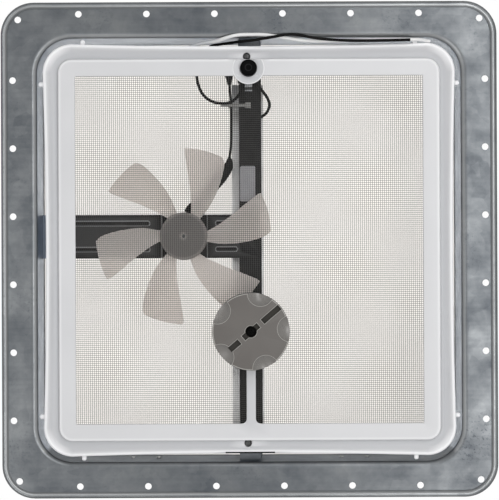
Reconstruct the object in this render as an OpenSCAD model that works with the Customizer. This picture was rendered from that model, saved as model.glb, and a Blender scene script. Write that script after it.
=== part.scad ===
// Caravan roof vent: a sheet steel base with a framed insect screen below it, a crank-operated
// dome lid above it and a small extractor fan on a bracket between them.
// Origin at the centre of the flange underside, +Z up and out of the roof, -Y the opening side.

/* [Base] */
// Clear width inside the neck
neck_w = 359; // [299:1:431]
// Inside corner radius of the neck
neck_corner_r = 30; // [25:1:36]
// Height of the neck rim above the flange underside
neck_h = 54; // [50:1:66]
// Thickness of the base sheet
sheet_t = 0.8; // [0.6:0.05:1]
// Radius of the bend from flange to neck
bend_r = 3.5; // [2.5:0.5:5]
// Width of the turned-out rim on the neck
rim_w = 6.5; // [5:0.5:8]
// Width of the flange outside the neck
flange_border = 30; // [26:1:40]
// Outer corner radius of the flange
flange_corner_r = 28; // [20:1:36]
// Distance of the stiffening bead from the flange edge
bead_inset = 3; // [2.7:0.1:4]
// Outer radius of the stiffening bead
bead_r = 2.4; // [1.8:0.1:2.5]
// Pitch of the roof screw holes along a side
hole_pitch = 57.5; // [45:0.5:60]
// Roof screw holes on each side
holes_per_side = 6; // [2:2:6]
// Diameter of the roof screw holes
hole_d = 5.6; // [4.5:0.1:7]
// Distance of the hole rows from the flange edge
hole_inset = 9.9; // [9:0.1:12]
// Distance of the corner holes from both flange edges
corner_hole_inset = 14.5; // [13:0.5:18]

/* [Screen] */
// Gap between the screen frame and the neck
frame_gap = 5; // [4:0.5:6]
// Outer corner radius of the screen frame
frame_corner_r = 24; // [21:0.5:27]
// Width of the lip and cove round the frame
cove_w = 13; // [12:0.5:14]
// Width of the flat band between the cove and the window
band_w = 14; // [12:0.5:16]
// Thickness of the moulded frame
frame_t = 1.6; // [1.3:0.1:2]
// Height of the flat band above the flange underside
band_z = 4; // [3:0.5:6]
// Gaps across the insect screen
screen_gaps = 17; // [9:1:17]
// Width of a screen strand
strand_w = 1; // [0.8:0.1:1.4]
// Thickness of the insect screen
screen_t = 0.6; // [0.4:0.1:1]
// Distance of the snap nubs from the middle of a side
nub_pos = 141; // [110:1:145]
// Width of the rib that carries the crank collar
rib_w = 7.8; // [6:0.2:10]

/* [Lid] */
// Distance that the lid reaches out past the neck wall
lid_reach = 16.5; // [14:0.5:19]
// Wall of the lid
lid_t = 2.2; // [1.8:0.1:2.6]
// Corner radius of the lid skirt
lid_corner_r = 52; // [48:1:60]
// Depth of the lid skirt below its ledge
skirt_h = 7.5; // [6:0.5:8]
// Rise of the dome above the ledge
dome_rise = 24.5; // [24:0.5:32]
// Width of the ledge over the rim
ledge_w = 19; // [17:0.5:22]
// Plan width of the slope of the dome
slope_w = 24; // [18:1:25]
// Height of the foam seal
seal_h = 4.7; // [3.5:0.1:6]
// Width of the foam seal
seal_w = 6; // [4:0.5:7]
// Distance of each hinge from the middle
hinge_x = 90; // [60:5:120]
// Distance of the hinge pins outside the lid skirt
hinge_out = 4; // [3.8:0.1:5]
// Distance of the hinge pins below the neck rim
hinge_drop = 6; // [6:0.5:8]
// Diameter of the hinge pins
hinge_pin_d = 3; // [2.5:0.1:3.4]

/* [Operator] */
// Sideways place of the operator
bar_x = 1; // [-3:0.5:3]
// Width of the dark operator bar
bar_w = 19; // [18.6:0.2:22]
// Thickness of the operator bar
bar_t = 1.4; // [1:0.1:1.6]
// Height of the bar's front face above the flange underside
bar_z = 38.5; // [36:0.5:39]
// Depth of the bar's flanges
bar_flange_h = 5.5; // [4:0.5:6]
// Distance of the crank axis behind the middle
crank_y = 68.5; // [56:0.5:82]
// Diameter of the crank shaft
shaft_d = 6.4; // [5.4:0.1:6.6]
// Diameter of the crank knob
knob_d = 65; // [54:1:78]
// Thickness of the crank knob
knob_h = 12; // [11:0.5:16]
// Gap between the knob and the flange plane
knob_drop = 4; // [3:0.5:10]
// Finger hollows round the knob
knob_hollows = 5; // [3:1:6]
// Module of the worm and gear teeth
gear_module = 1.25; // [1.15:0.05:1.3]
// Teeth on the whole gear
gear_teeth = 24; // [22:1:24]
// Pitch radius of the worm
worm_r = 4.5; // [4.3:0.1:4.8]
// Thickness of the lift arm
arm_t = 2.5; // [2:0.1:3]
// Width of the lift arm
arm_w = 11; // [9:0.5:12]
// Rise of the roller above the arm pivot with the lid shut
roller_rise = 24; // [23:0.5:26]
// Diameter of the rollers
roller_d = 10; // [8:0.5:11]
// Width of each roller
roller_w = 4.5; // [3.5:0.5:5]
// Sheet of the lid track
track_t = 1.2; // [0.8:0.1:1.4]
// Outside width of the lid track
track_w = 27.6; // [26.6:0.2:30]
// Distance of the track's middle from the arm
track_shift = 2.4; // [2:0.1:2.6]

/* [Fan] */
// Distance of the fan axis left of the middle
fan_left = 56.4; // [54:0.5:64]
// Distance of the fan axis in front of the middle
fan_front = 11.9; // [5:0.5:20]
// Diameter of the fan over its blades
fan_d = 152.4; // [127:0.2:155]
// Number of blades
blades = 6; // [3:1:8]
// Diameter of the fan hub
hub_d = 40.8; // [38:0.2:46]
// Height of the hub's front above the flange underside
hub_z = 16; // [14:0.5:17]
// Depth of the hub
hub_h = 16; // [14:0.5:17]
// Pitch of the blades in degrees
blade_pitch = 20; // [12:1:20]
// Thickness of the blades
blade_t = 1.6; // [1.2:0.1:2]
// Width of the fan bracket
bracket_w = 37.6; // [36:0.2:44]
// Thickness of the fan bracket
bracket_t = 1.5; // [1:0.1:1.8]
// Set-back of the motor seat
seat_depth = 3; // [2:0.5:4]
// Diameter of the motor
motor_d = 36; // [30:0.5:38]
// Length of the motor can
motor_l = 29; // [24:0.5:31]
// Diameter of the motor shaft
motor_shaft_d = 3; // [2.3:0.1:3.6]

/* [Switch] */
// Distance of the switch in front of the window edge
switch_out = 6.5; // [5.5:0.5:7]
// Diameter of the push button
button_d = 14; // [11.7:0.1:15]
// Travel of the push button
button_travel = 2.5; // [1.5:0.1:3]
// Diameter of the white boss round the button
boss_d = 27.4; // [25:0.2:30]

/* [Hidden] */
$fn = 64;

// Clearances between pieces
fit = 0.05;
gap = 0.3;
eps = 0.01;

// Outlines of the base, seen from below
neck_half = neck_w / 2;
neck_centre = neck_half - neck_corner_r;
flange_half = neck_half + flange_border;
flange_centre = flange_half - flange_corner_r;
hole_row = flange_half - hole_inset;
corner_hole = flange_half - corner_hole_inset;
bead_hollow_r = bead_r - sheet_t;
bend_foot = 2;
foot_w = bend_r + bend_foot / 2;

// Outlines of the screen frame
frame_half = neck_half - frame_gap;
frame_centre = frame_half - frame_corner_r;
step_half = frame_half - cove_w;
step_r = frame_corner_r - cove_w;
window_half = step_half - band_w;
cove_depth = 4.5;
cove_z = band_z + cove_depth;
lip_z = band_z + 1;
skirt_back_z = cove_z + 7.5;
screen_z = band_z + frame_t;
screen_half = window_half + 2;
nub_w = 3.4;
nub_z0 = band_z + 1.5;
nub_z1 = band_z + 5;
collar_r = 9;
frame_screw_x = -1.7;
frame_screw_y = step_half + 2.8;
frame_boss_r = 4.1;
frame_screw_r = 1.9;
frame_head_r = 3.2;
frame_head_h = 2;
screw_pocket_r = 3.5;
tab_t = 1.4;
tab_z = skirt_back_z + gap;
tab_w = 18;
tab_rise = 14;
pry_slot_l = 42;
pry_slot_w = 1.8;

// Lid outlines and heights
ledge_z = neck_h + gap + seal_h;
lid_half = neck_half + lid_reach;
lid_centre = lid_half - lid_corner_r;
dome_top_z = ledge_z + dome_rise;
crown_half = lid_half - ledge_w - slope_w;
seal_half = neck_half + 1.7;

// Hinge axis, which the line of the lid track passes through
hinge_y = lid_half + hinge_out;
hinge_z = neck_h - hinge_drop;
knuckle_r = hinge_pin_d / 2 + 1.7;
knuckle_l = 9.4;
leaf_w = 34;
leaf_t = 1.5;
leaf_rivet_x = 11;
hinge_plate_h = 24;

// Operator: the arm is as long as the distance from hinge to pivot, so it turns exactly twice as far
// as the lid while its rollers follow the track.
gear_r = gear_module * gear_teeth / 2;
gear_tip_r = gear_r + 0.88 * gear_module;
gear_root_r = gear_r - 1.28 * gear_module;
worm_lead = PI * gear_module;
worm_tip_r = worm_r + 0.88 * gear_module;
worm_core_r = worm_r - 1.0 * gear_module;
worm_l = 12;
pivot_y = crank_y - gear_r - worm_r;
pivot_z = hinge_z;
arm_l = hinge_y - pivot_y;
roller_y = pivot_y - sqrt(arm_l * arm_l - roller_rise * roller_rise);
roller_z = pivot_z + roller_rise;
arm_angle = atan2(roller_rise, roller_y - pivot_y);
track_angle = atan2(roller_z - hinge_z, hinge_y - roller_y);
pivot_pin_r = 2.5;
roller_pin_r = 2;
arm_gap = 0.4;
track_in = roller_d / 2 + gap;
track_out = track_in + track_t;
arm_end_r = min(arm_w / 2, track_in - 2 * gap);
arm_neck_l = 12;
track_x = bar_x - track_shift;
track_front = (hinge_y + window_half - 1.5) / cos(track_angle);
track_rear = (hinge_y - window_half - 8) / cos(track_angle);
lip_rear = (hinge_y - pivot_y - gap) / cos(track_angle) - 5.5;
slot_half = arm_t / 2 + 2.5;
post_r = 7;
post_rivet_r = 2;

// Bar, housing and shaft heights
bar_back_z = bar_z + bar_t;
bar_in_w = bar_w - 2 * bar_t;
bar_end_y = neck_half - gap / 3;
bar_tab_h = 13;
bar_screw_x = 5;
bar_screw_z = bar_back_z + 8;
screw_r = 1.9;
screw_head_r = 3.2;
screw_head_h = 2.2;
housing_w = bar_in_w - 0.2;
housing_front_y = pivot_y - 12;
housing_back_y = crank_y + 9.5;
housing_floor = 1.8;
worm_z0 = pivot_z - worm_l / 2;
worm_z1 = pivot_z + worm_l / 2;
cheek_top_z = pivot_z + 4.2;
bridge_z = worm_z1 + gap;
bridge_h = 3.2;
bridge_front_y = crank_y - 4;
shaft_r = shaft_d / 2;
journal_r = shaft_r - 0.8;
shaft_top_z = bridge_z + bridge_h;
housing_screw_y = [pivot_y - 8, crank_y + 6.8];
housing_screw_x = [5.2, 4.5];

// Knob heights: its face looks down
knob_face_z = -knob_drop - knob_h;
knob_back_z = -knob_drop;
knob_hub_z = band_z - gap - 1;
knob_hub_r = 8;
knob_hole_r = 4.9;
knob_screw_r = 4.4;
knob_seat_z = knob_face_z + 4;
shaft_end_z = knob_seat_z + 2.5;
hollow_r = 14.4;
hollow_depth = 5;
groove_angle = -40.5;
groove_w = 4.9;
groove_depth = 3.5;
knob_r = knob_d / 2;
// Start and end of each groove as distances along the knob's diameter
grooves = [[-(knob_r - 9), -12.7], [-8.3, 8.3], [12.7, knob_r - 0.9]];

// Fan and bracket heights
fan_x = -fan_left;
fan_y = -fan_front;
bracket_z = bar_z - bracket_t;
seat_z = bracket_z + seat_depth;
seat_back_z = seat_z + bracket_t;
seat_half = 20;
bracket_right = bar_x + bar_w / 2 - 0.6;
bracket_tab_h = 13;
bracket_bead_r = 2;
bracket_bead_h = 0.9;
bracket_bead_y = [-11.3, 11.3];
bracket_screw_y = 13.7;
motor_r = motor_d / 2;
motor_wall = 1.2;
motor_top_z = seat_back_z + motor_l;
motor_cap_h = 3;
motor_cap_r = 12;
motor_nose_r = 5;
motor_shaft_r = motor_shaft_d / 2;
motor_screw_x = 10.5;
armature_r = 11;
armature_l = motor_l - 11;
hub_r = hub_d / 2;
hub_wall = 2;
hub_boss_r = 4.5;
hub_back_z = hub_z + hub_h;
blade_mid_z = hub_z + 8.9;
tip_r = fan_d / 2;
// Plan outline of one blade: distance from the axis as a share of the span, and angle in degrees
blade_front = [[0, 19], [0.1, 15.5], [0.34, 8.6], [0.67, 2.8], [1, 0]];
blade_back = [[0.97, 26.3], [0.9, 28.6], [0.56, 34.5], [0.28, 41], [0.08, 43.5], [0, 44.5]];

// Switch heights
switch_x = -0.2;
switch_y = -(window_half + switch_out);
button_r = button_d / 2;
boss_r = boss_d / 2;
button_z = band_z - 5;
button_h = 7;
bush_r = 4.4;
bush_z = button_z + button_h + button_travel + gap;
plate_z = bush_z + 2.6;
plate_t = 1.2;
plate_half_w = 8.6;
switch_half_w = 9.4;
switch_front = frame_screw_y - frame_boss_r - 2 * gap + switch_y;
switch_back = 10;
switch_back_z = plate_z + plate_t + 20;
switch_tab_w = 6;
switch_tab_y = switch_y + switch_back + 4;
switch_foot_l = 11;
stem_r = 2.6;
nut_r = switch_front;

// Leads: centre lines through hand-chosen points
white_d = 2.9;
black_d = 2.5;
lead_d = 2.5;
motor_wire_d = 2.2;
sleeve_d = 9;
splice_d = 8;
white_route = [
    [-21.8, -160.5, 31], [-32, -164, 29], [-42, -166.5, 26], [-49.5, -170, 22.5], [-50.5, -173, 19.8],
    [-46, -174.8, 18.4], [-40, -176.6, 17], [-34, -177, 12], [-28, -177.2, 6.5], [-22, -178.3, 1.2],
    [-16, -179.8, -1.6], [-10, -181, -2.4],
    [3, -181.5, -2.4], [13, -181.3, -2.4], [22, -180.2, -2.3], [34, -178.2, -1.4], [48, -176.6, 0.8],
    [72, -176.6, 3], [95, -177.2, 3], [118, -177.6, 3], [136, -177.6, 3], [146, -177.4, 4.5], [154, -176.6, 8]
];
black_route = [
    [-21.8, -157, 28], [-28, -162, 26.5], [-33, -167.5, 23.5], [-34.8, -172, 20.2], [-31.5, -174.6, 18.1],
    [-26, -175.7, 17.5], [-19, -176.5, 16.6], [-12, -176.8, 12], [-4, -177, 6], [6, -177.3, -0.5],
    [15, -178.2, -4.4], [22, -179.2, -5.6],
    [30, -180.6, -5.7], [40, -181, -4.4], [54, -178.8, -2], [72, -177, -0.6], [95, -176.2, -0.4],
    [118, -176.4, -0.4], [136.5, -176.8, -0.2]
];
left_route = [
    [-46, -160, 24], [-44.8, -150, 24], [-43.2, -141.5, 24], [-38.8, -133, 24], [-32.2, -128, 24.2],
    [-24.4, -126.2, 24.6], [-16.5, -127, 25.2], [-10.5, -131, 26], [-7, -137, 26.6], [-6, -143.4, 27]
];
right_route = [
    [6, -142.9, 27], [8.8, -140.4, 27.4], [12.7, -135.8, 29], [16, -131.2, 31], [17.8, -126.2, 34],
    [16.6, -121.2, 39.4], [13.4, -117.6, 44.4], [8, -115, 47.4]
];
motor_wire_route = [
    [-16.6, -142.6, 34.6], [-16.2, -136, 36.6], [-15.8, -130, 38], [-15.5, -122, 38.8], [-15.5, -104, 39.2],
    [-15.7, -92, 40.4], [-16.4, -84.5, 41.5], [-17.35, -80, 42.25]
];
sleeve_route = [
    [-17.5, -79.5, 42.4], [-19.8, -72, 43.2], [-27, -61.8, 45], [-36, -51.1, 47.5],
    [-45, -40.5, 49.5], [-51.4, -34.3, 50], [-53.7, -31.5, 50]
];
splice_route = [[-17.6, -160, 30], [-17.2, -152, 31.5], [-16.9, -147.5, 32.8], [-16.7, -143, 34.4]];
// The tie closes round the motor wire and the bar's near flange
tie_y = -125.4;
tie_w = 2.6;
tie_t = 0.9;
tie_left = -18;
tie_hole_x = bar_x - 3.4;

// Slab with a rounded-square outline
module rounded_slab(half, r, z0, z1) {
    translate([0, 0, z0]) {
        translate([-half, -(half - r), 0]) cube([2 * half, 2 * (half - r), z1 - z0]);
        translate([-(half - r), -half, 0]) cube([2 * (half - r), 2 * half, z1 - z0]);
        for (x = [-1, 1], y = [-1, 1])
            translate([x * (half - r), y * (half - r), 0]) cylinder(r = r, h = z1 - z0);
    }
}

// Runs an outline round a rounded square: the outline's x is measured outward from the corner centres
module square_ring(centre) {
    for (turn = [0:90:270]) rotate(turn) {
        translate([centre, centre, 0]) rotate_extrude(angle = 90) children();
        translate([centre, centre, 0]) rotate([90, 0, 0]) linear_extrude(2 * centre) children();
    }
}

// Plate standing in the plane of the lift arm; its outline is drawn in Y and Z
module upright_plate(x0, t) {
    translate([x0, 0, 0]) rotate([90, 0, 90]) linear_extrude(t) children();
}

// Box from one corner to the opposite one
module box(low, high) {
    translate(low) cube(high - low);
}

// Round bar along X, Y or Z
module bar_x_axis(r, x0, x1, y, z) {
    translate([x0, y, z]) rotate([0, 90, 0]) cylinder(r = r, h = x1 - x0);
}

module bar_y_axis(r, y0, y1, x, z) {
    translate([x, y1, z]) rotate([90, 0, 0]) cylinder(r = r, h = y1 - y0);
}

module bar_z_axis(r, z0, z1, x, y) {
    translate([x, y, z0]) cylinder(r = r, h = z1 - z0);
}

// Tube swept along a route with an eight-sided section
function unit(v) = v / norm(v);
function heading(route, i) = unit(route[min(i + 1, len(route) - 1)] - route[max(i - 1, 0)]);
function side_of(h) = unit(cross(h, abs(h[2]) > 0.9 ? [1, 0, 0] : [0, 0, 1]));
function ring_points(route, i, r) =
    let (h = heading(route, i), u = side_of(h), v = cross(h, u))
    [for (k = [0:7]) route[i] + r * (cos(45 * k) * u + sin(45 * k) * v)];
module tube(route, d) {
    rings = len(route);
    last = 8 * (rings - 1);
    points = [for (i = [0:rings - 1]) each ring_points(route, i, d / 2)];
    sides = [for (i = [0:rings - 2], k = [0:7])
        let (a = 8 * i + k, b = 8 * i + (k + 1) % 8)
        each [[a, b, b + 8], [a, b + 8, a + 8]]];
    caps = [for (k = [1:6]) each [[0, k + 1, k], [last, last + k, last + k + 1]]];
    polyhedron(points, [for (f = concat(sides, caps)) [f[0], f[2], f[1]]]);
}

// Steel base

module bend_profile() {
    intersection() {
        translate([neck_corner_r + bend_r, bend_r]) difference() {
            circle(r = bend_r);
            circle(r = bend_r - sheet_t);
        }
        translate([neck_corner_r, 0]) square(bend_r);
    }
}

module neck_profile() {
    bend_profile();
    translate([neck_corner_r + bend_r, 0]) square([bend_foot, sheet_t]);
    translate([neck_corner_r, bend_r]) square([sheet_t, neck_h - bend_r]);
    translate([neck_corner_r, neck_h - sheet_t]) square([rim_w, sheet_t]);
}

module flange_plate() {
    difference() {
        union() {
            rounded_slab(flange_half, flange_corner_r, 0, sheet_t);
            square_ring(flange_centre) translate([flange_corner_r - bead_inset, 0]) intersection() {
                circle(r = bead_r);
                translate([-bead_r, 0]) square([2 * bead_r, bead_r]);
            }
        }
        square_ring(flange_centre) translate([flange_corner_r - bead_inset, 0]) circle(r = bead_hollow_r);
        rounded_slab(neck_half + foot_w, neck_corner_r + foot_w, -1, sheet_t + 1);
        for (x = [-1, 1], y = [-1, 1])
            bar_z_axis(hole_d / 2, -1, 4, x * corner_hole, y * corner_hole);
        for (turn = [0:90:270], i = [0:holes_per_side - 1])
            rotate(turn)
                bar_z_axis(hole_d / 2, -1, 4, (i - (holes_per_side - 1) / 2) * hole_pitch, hole_row);
    }
}

module roof_base() {
    color("darkgray") difference() {
        union() {
            flange_plate();
            square_ring(neck_centre) neck_profile();
        }
        for (side = [-1, 1], x = [-1, 1])
            bar_y_axis(screw_r + fit, side * neck_half - 4, side * neck_half + 4,
                bar_x + x * bar_screw_x, bar_screw_z);
        for (side = [-1, 1], x = [-1, 1])
            bar_y_axis(screw_r + fit, neck_half - 4, neck_half + 4,
                side * hinge_x + x * leaf_rivet_x, hinge_rivet_z());
        bar_x_axis(screw_r + fit, -neck_half - 4, -neck_half + 4, fan_y, bracket_tab_screw_z());
    }
}

// Screen frame

module cove_profile() {
    r = frame_corner_r;
    s = step_r;
    polygon([
        [s - 1, band_z], [s + 0.3, band_z], [s + 0.9, cove_z], [r - 7.2, cove_z], [r - 5.2, cove_z - 0.6],
        [r - 3.6, cove_z - 1.8], [r - 2.6, lip_z + 0.5], [r - 2, lip_z], [r - 1, lip_z],
        [r - 0.4, lip_z + 0.4], [r, lip_z + 1.4], [r, skirt_back_z], [r - frame_t, skirt_back_z],
        [r - frame_t, cove_z + frame_t], [s - 1, cove_z + frame_t]
    ]);
}

module screw_pocket(side) {
    bar_z_axis(screw_pocket_r, band_z + frame_t, cove_z, frame_screw_x, side * frame_screw_y);
}

module snap_nubs() {
    for (turn = [0:90:270], side = [-1, 1])
        rotate(turn) box([side * nub_pos - nub_w / 2, frame_half - 1, nub_z0],
            [side * nub_pos + nub_w / 2, neck_half - gap / 2, nub_z1]);
}

module screen_frame() {
    color("white") difference() {
        union() {
            square_ring(frame_centre) cove_profile();
            difference() {
                rounded_slab(step_half, step_r, band_z, band_z + frame_t);
                box([-window_half, -window_half, 0], [window_half, window_half, 20]);
            }
            snap_nubs();
            bar_z_axis(boss_r, band_z, band_z + frame_t, switch_x, switch_y);
            box([bar_x - rib_w / 2, crank_y, band_z],
                [bar_x + rib_w / 2, window_half + 1, band_z + frame_t]);
            bar_z_axis(collar_r, band_z, band_z + frame_t, bar_x, crank_y);
            for (side = [-1, 1])
                bar_z_axis(frame_boss_r, cove_z, skirt_back_z, frame_screw_x, side * frame_screw_y);
        }
        for (side = [-1, 1]) {
            screw_pocket(side);
            bar_z_axis(frame_screw_r + fit, cove_z - 1, skirt_back_z + 1,
                frame_screw_x, side * frame_screw_y);
        }
        bar_z_axis(shaft_r + 0.4, 0, 20, bar_x, crank_y);
        bar_z_axis(button_r + 0.5, 0, 20, switch_x, switch_y);
        box([-pry_slot_l / 2, frame_half - pry_slot_w, 0],
            [pry_slot_l / 2, frame_half + 1, cove_z + 6]);
    }
}

module insect_screen() {
    pitch = 2 * window_half / screen_gaps;
    color("gray") difference() {
        union() {
            difference() {
                box([-screen_half, -screen_half, screen_z],
                    [screen_half, screen_half, screen_z + screen_t]);
                for (i = [0:screen_gaps - 1], j = [0:screen_gaps - 1])
                    translate([(i + 0.5) * pitch - window_half, (j + 0.5) * pitch - window_half, screen_z])
                        cube([pitch - strand_w, pitch - strand_w, 3 * screen_t], center = true);
            }
            bar_z_axis(collar_r, screen_z, screen_z + screen_t, bar_x, crank_y);
        }
        bar_z_axis(shaft_r + 0.4, 0, 20, bar_x, crank_y);
        bar_z_axis(boss_r - 2, 0, 20, switch_x, switch_y);
    }
}

module frame_screws() {
    color("silver") for (side = [-1, 1]) {
        bar_z_axis(frame_head_r, cove_z - frame_head_h, cove_z, frame_screw_x, side * frame_screw_y);
        bar_z_axis(frame_screw_r, cove_z - eps, tab_z + 5, frame_screw_x, side * frame_screw_y);
    }
}

module screen_tabs() {
    inner = frame_screw_y - frame_boss_r - gap;
    color("silver") for (turn = [0, 180]) rotate(turn) difference() {
        union() {
            box([-tab_w / 2, inner, tab_z], [tab_w / 2, neck_half, tab_z + tab_t]);
            box([-tab_w / 2, neck_half - tab_t, tab_z], [tab_w / 2, neck_half, tab_z + tab_rise]);
        }
        bar_z_axis(frame_screw_r + fit, tab_z - 1, tab_z + 3,
            turn == 0 ? frame_screw_x : -frame_screw_x, frame_screw_y);
    }
}

// Operator bar and crank gear

module operator_bar() {
    left = bar_x - bar_w / 2;
    right = bar_x + bar_w / 2;
    color("dimgray") difference() {
        union() {
            box([left, -bar_end_y, bar_z], [right, bar_end_y, bar_back_z]);
            for (x = [left, right - bar_t])
                box([x, -bar_end_y, bar_z], [x + bar_t, bar_end_y, bar_z + bar_flange_h]);
            for (y = [-bar_end_y, bar_end_y - bar_t])
                box([left, y, bar_z], [right, y + bar_t, bar_back_z + bar_tab_h]);
        }
        box([bar_x - arm_t / 2 - arm_gap, pivot_y - gear_tip_r - 1, bar_z - 1],
            [bar_x + arm_t / 2 + arm_gap, pivot_y + gear_tip_r - 1, bar_back_z + 1]);
        bar_z_axis(shaft_r + 0.4, bar_z - 1, bar_back_z + 1, bar_x, crank_y);
        for (i = [0, 1], x = [-1, 1])
            bar_z_axis(screw_r + fit, bar_z - 1, bar_back_z + 1,
                bar_x + x * housing_screw_x[i], housing_screw_y[i]);
        for (side = [-1, 1], x = [-1, 1])
            bar_y_axis(screw_r + fit, side * bar_end_y - 4, side * bar_end_y + 4,
                bar_x + x * bar_screw_x, bar_screw_z);
        for (y = [-1, 1])
            bar_z_axis(screw_r + fit, bar_z - 1, bar_back_z + 1, bar_x + 2, fan_y + y * bracket_screw_y);
        bar_z_axis(screw_r + fit, bar_z - 1, bar_back_z + 1, switch_x, switch_tab_y + switch_foot_l / 2);
        box([tie_hole_x - 1.6, tie_y - tie_w / 2 - 0.4, bar_z - 1],
            [tie_hole_x + 1.6, tie_y + tie_w / 2 + 0.4, bar_back_z + 1]);
    }
}

// Pan head screw along Y: the head's flat side lies at y and the shank runs in the given direction
module pan_screw_y(x, y, z, dir, shank) {
    bar_y_axis(screw_r, min(y, y + dir * shank), max(y, y + dir * shank), x, z);
    bar_y_axis(screw_head_r, min(y, y - dir * screw_head_h), max(y, y - dir * screw_head_h), x, z);
}

module bar_screws() {
    color("silver") for (side = [-1, 1], x = [-1, 1])
        pan_screw_y(bar_x + x * bar_screw_x, side * (bar_end_y - bar_t), bar_screw_z, side, 6);
}

module rating_label() {
    color("white") translate([0, 0, bar_z - 0.15]) linear_extrude(0.15) {
        translate([-7.9, -71.3]) square([13.4, 27.9]);
        translate([-6.4, -72.8]) square([10.4, 30.9]);
        for (x = [-6.4, 4], y = [-71.3, -43.4]) translate([x, y]) circle(r = 1.5);
    }
}

module gear_housing() {
    half = housing_w / 2;
    color("slategray") difference() {
        union() {
            box([bar_x - half, housing_front_y, bar_back_z], [bar_x + half, housing_back_y, cheek_top_z]);
            box([bar_x - half, bridge_front_y, bar_back_z], [bar_x + half, housing_back_y, shaft_top_z]);
        }
        box([bar_x - arm_t / 2 - arm_gap, housing_front_y - 1, bar_back_z - 1],
            [bar_x + arm_t / 2 + arm_gap, crank_y, bridge_z]);
        bar_z_axis(worm_tip_r + 0.5, bar_back_z + housing_floor, bridge_z, bar_x, crank_y);
        bar_z_axis(shaft_r + fit, bar_back_z - 1, pivot_z, bar_x, crank_y);
        bar_z_axis(journal_r + fit, pivot_z, shaft_top_z + 1, bar_x, crank_y);
        bar_x_axis(pivot_pin_r, bar_x - half - 1, bar_x + half + 1, pivot_y, pivot_z);
        for (i = [0, 1], x = [-1, 1])
            bar_z_axis(screw_r, bar_back_z - 1, bar_back_z + 6,
                bar_x + x * housing_screw_x[i], housing_screw_y[i]);
    }
}

module housing_screws() {
    color("silver") for (i = [0, 1], x = [-1, 1]) {
        bar_z_axis(2.6, bar_z - 1.4, bar_z, bar_x + x * housing_screw_x[i], housing_screw_y[i]);
        bar_z_axis(screw_r, bar_z - eps, bar_back_z + 6,
            bar_x + x * housing_screw_x[i], housing_screw_y[i]);
    }
}

module crank_shaft() {
    color("silver") difference() {
        union() {
            bar_z_axis(shaft_r, shaft_end_z, worm_z0, bar_x, crank_y);
            bar_z_axis(journal_r, worm_z0 - eps, shaft_top_z, bar_x, crank_y);
        }
        bar_z_axis(1.6, shaft_end_z - 1, shaft_end_z + 8, bar_x, crank_y);
    }
}

// Left-hand worm thread: one ridge that faces the gear at the height of its axis
function worm_section(tip_a, root_a, steps) = concat(
    [for (i = [0:4]) let (a = -tip_a + i * tip_a / 2) worm_tip_r * [cos(a), sin(a)]],
    [for (i = [0:steps]) let (a = root_a + i * (360 - 2 * root_a) / steps) worm_core_r * [cos(a), sin(a)]]
);

module worm() {
    tip_a = 0.105 * 360;
    root_a = 0.25 * 360;
    color("silver") difference() {
        translate([bar_x, crank_y, worm_z0]) rotate(-90 + 360 * (pivot_z - worm_z0) / worm_lead)
            linear_extrude(worm_l, twist = 360 * worm_l / worm_lead, slices = 54, segments = 16)
                polygon(worm_section(tip_a, root_a, 10));
        bar_z_axis(journal_r, worm_z0 - 1, worm_z1 + 1, bar_x, crank_y);
    }
}

module knob_hollow(angle) {
    reach = hollow_r - hollow_depth;
    rotate(angle) translate([knob_r + 0.5, 0, knob_face_z - reach]) sphere(r = hollow_r);
}

module crank_knob() {
    color("gray") translate([bar_x, crank_y, 0]) difference() {
        union() {
            translate([0, 0, knob_face_z]) cylinder(r = knob_r, h = knob_h);
            bar_z_axis(knob_hub_r, knob_back_z - eps, knob_hub_z, 0, 0);
        }
        for (i = [0:knob_hollows - 1]) knob_hollow(-4 - i * 360 / knob_hollows);
        rotate(groove_angle) for (g = grooves)
            box([g[0], -groove_w / 2, knob_face_z - 1], [g[1], groove_w / 2, knob_face_z + groove_depth]);
        bar_z_axis(knob_hole_r, knob_face_z - 1, knob_seat_z, 0, 0);
        bar_z_axis(1.7, knob_seat_z - 1, shaft_end_z + 1, 0, 0);
        bar_z_axis(shaft_r, shaft_end_z, knob_hub_z + 1, 0, 0);
    }
}

module knob_screw() {
    color("black") {
        bar_z_axis(knob_screw_r, knob_seat_z - 3, knob_seat_z, bar_x, crank_y);
        bar_z_axis(1.55, knob_seat_z - eps, shaft_end_z + 7, bar_x, crank_y);
    }
}

module tooth(angle) {
    rotate(angle) polygon([
        [gear_root_r - 0.5, -0.95 * gear_module], [gear_r, -0.58 * gear_module],
        [gear_tip_r, -0.3 * gear_module], [gear_tip_r, 0.3 * gear_module],
        [gear_r, 0.58 * gear_module], [gear_root_r - 0.5, 0.95 * gear_module]
    ]);
}

module lift_arm() {
    color("lightgray") upright_plate(bar_x - arm_t / 2, arm_t) difference() {
        union() {
            translate([pivot_y, pivot_z]) {
                circle(r = gear_root_r);
                for (i = [0:gear_teeth - 1]) tooth((i + 0.5) * 360 / gear_teeth);
                rotate(arm_angle) {
                    translate([0, -arm_w / 2]) square([arm_l - arm_neck_l, arm_w]);
                    translate([0, -arm_end_r]) square([arm_l, 2 * arm_end_r]);
                }
            }
            translate([roller_y, roller_z]) circle(r = arm_end_r);
        }
        translate([pivot_y, pivot_z]) circle(r = pivot_pin_r + fit);
        translate([roller_y, roller_z]) circle(r = roller_pin_r);
    }
}

module arm_pivot_pin() {
    half = housing_w / 2;
    color("silver") bar_x_axis(pivot_pin_r, bar_x - half, bar_x + half, pivot_y, pivot_z);
}

module roller_pin() {
    reach = arm_t / 2 + gap + roller_w + gap;
    color("silver") {
        bar_x_axis(roller_pin_r, bar_x - reach, bar_x + reach, roller_y, roller_z);
        for (x = [-reach - 0.8, reach])
            bar_x_axis(roller_pin_r + 1, bar_x + x, bar_x + x + 0.8, roller_y, roller_z);
    }
}

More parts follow.
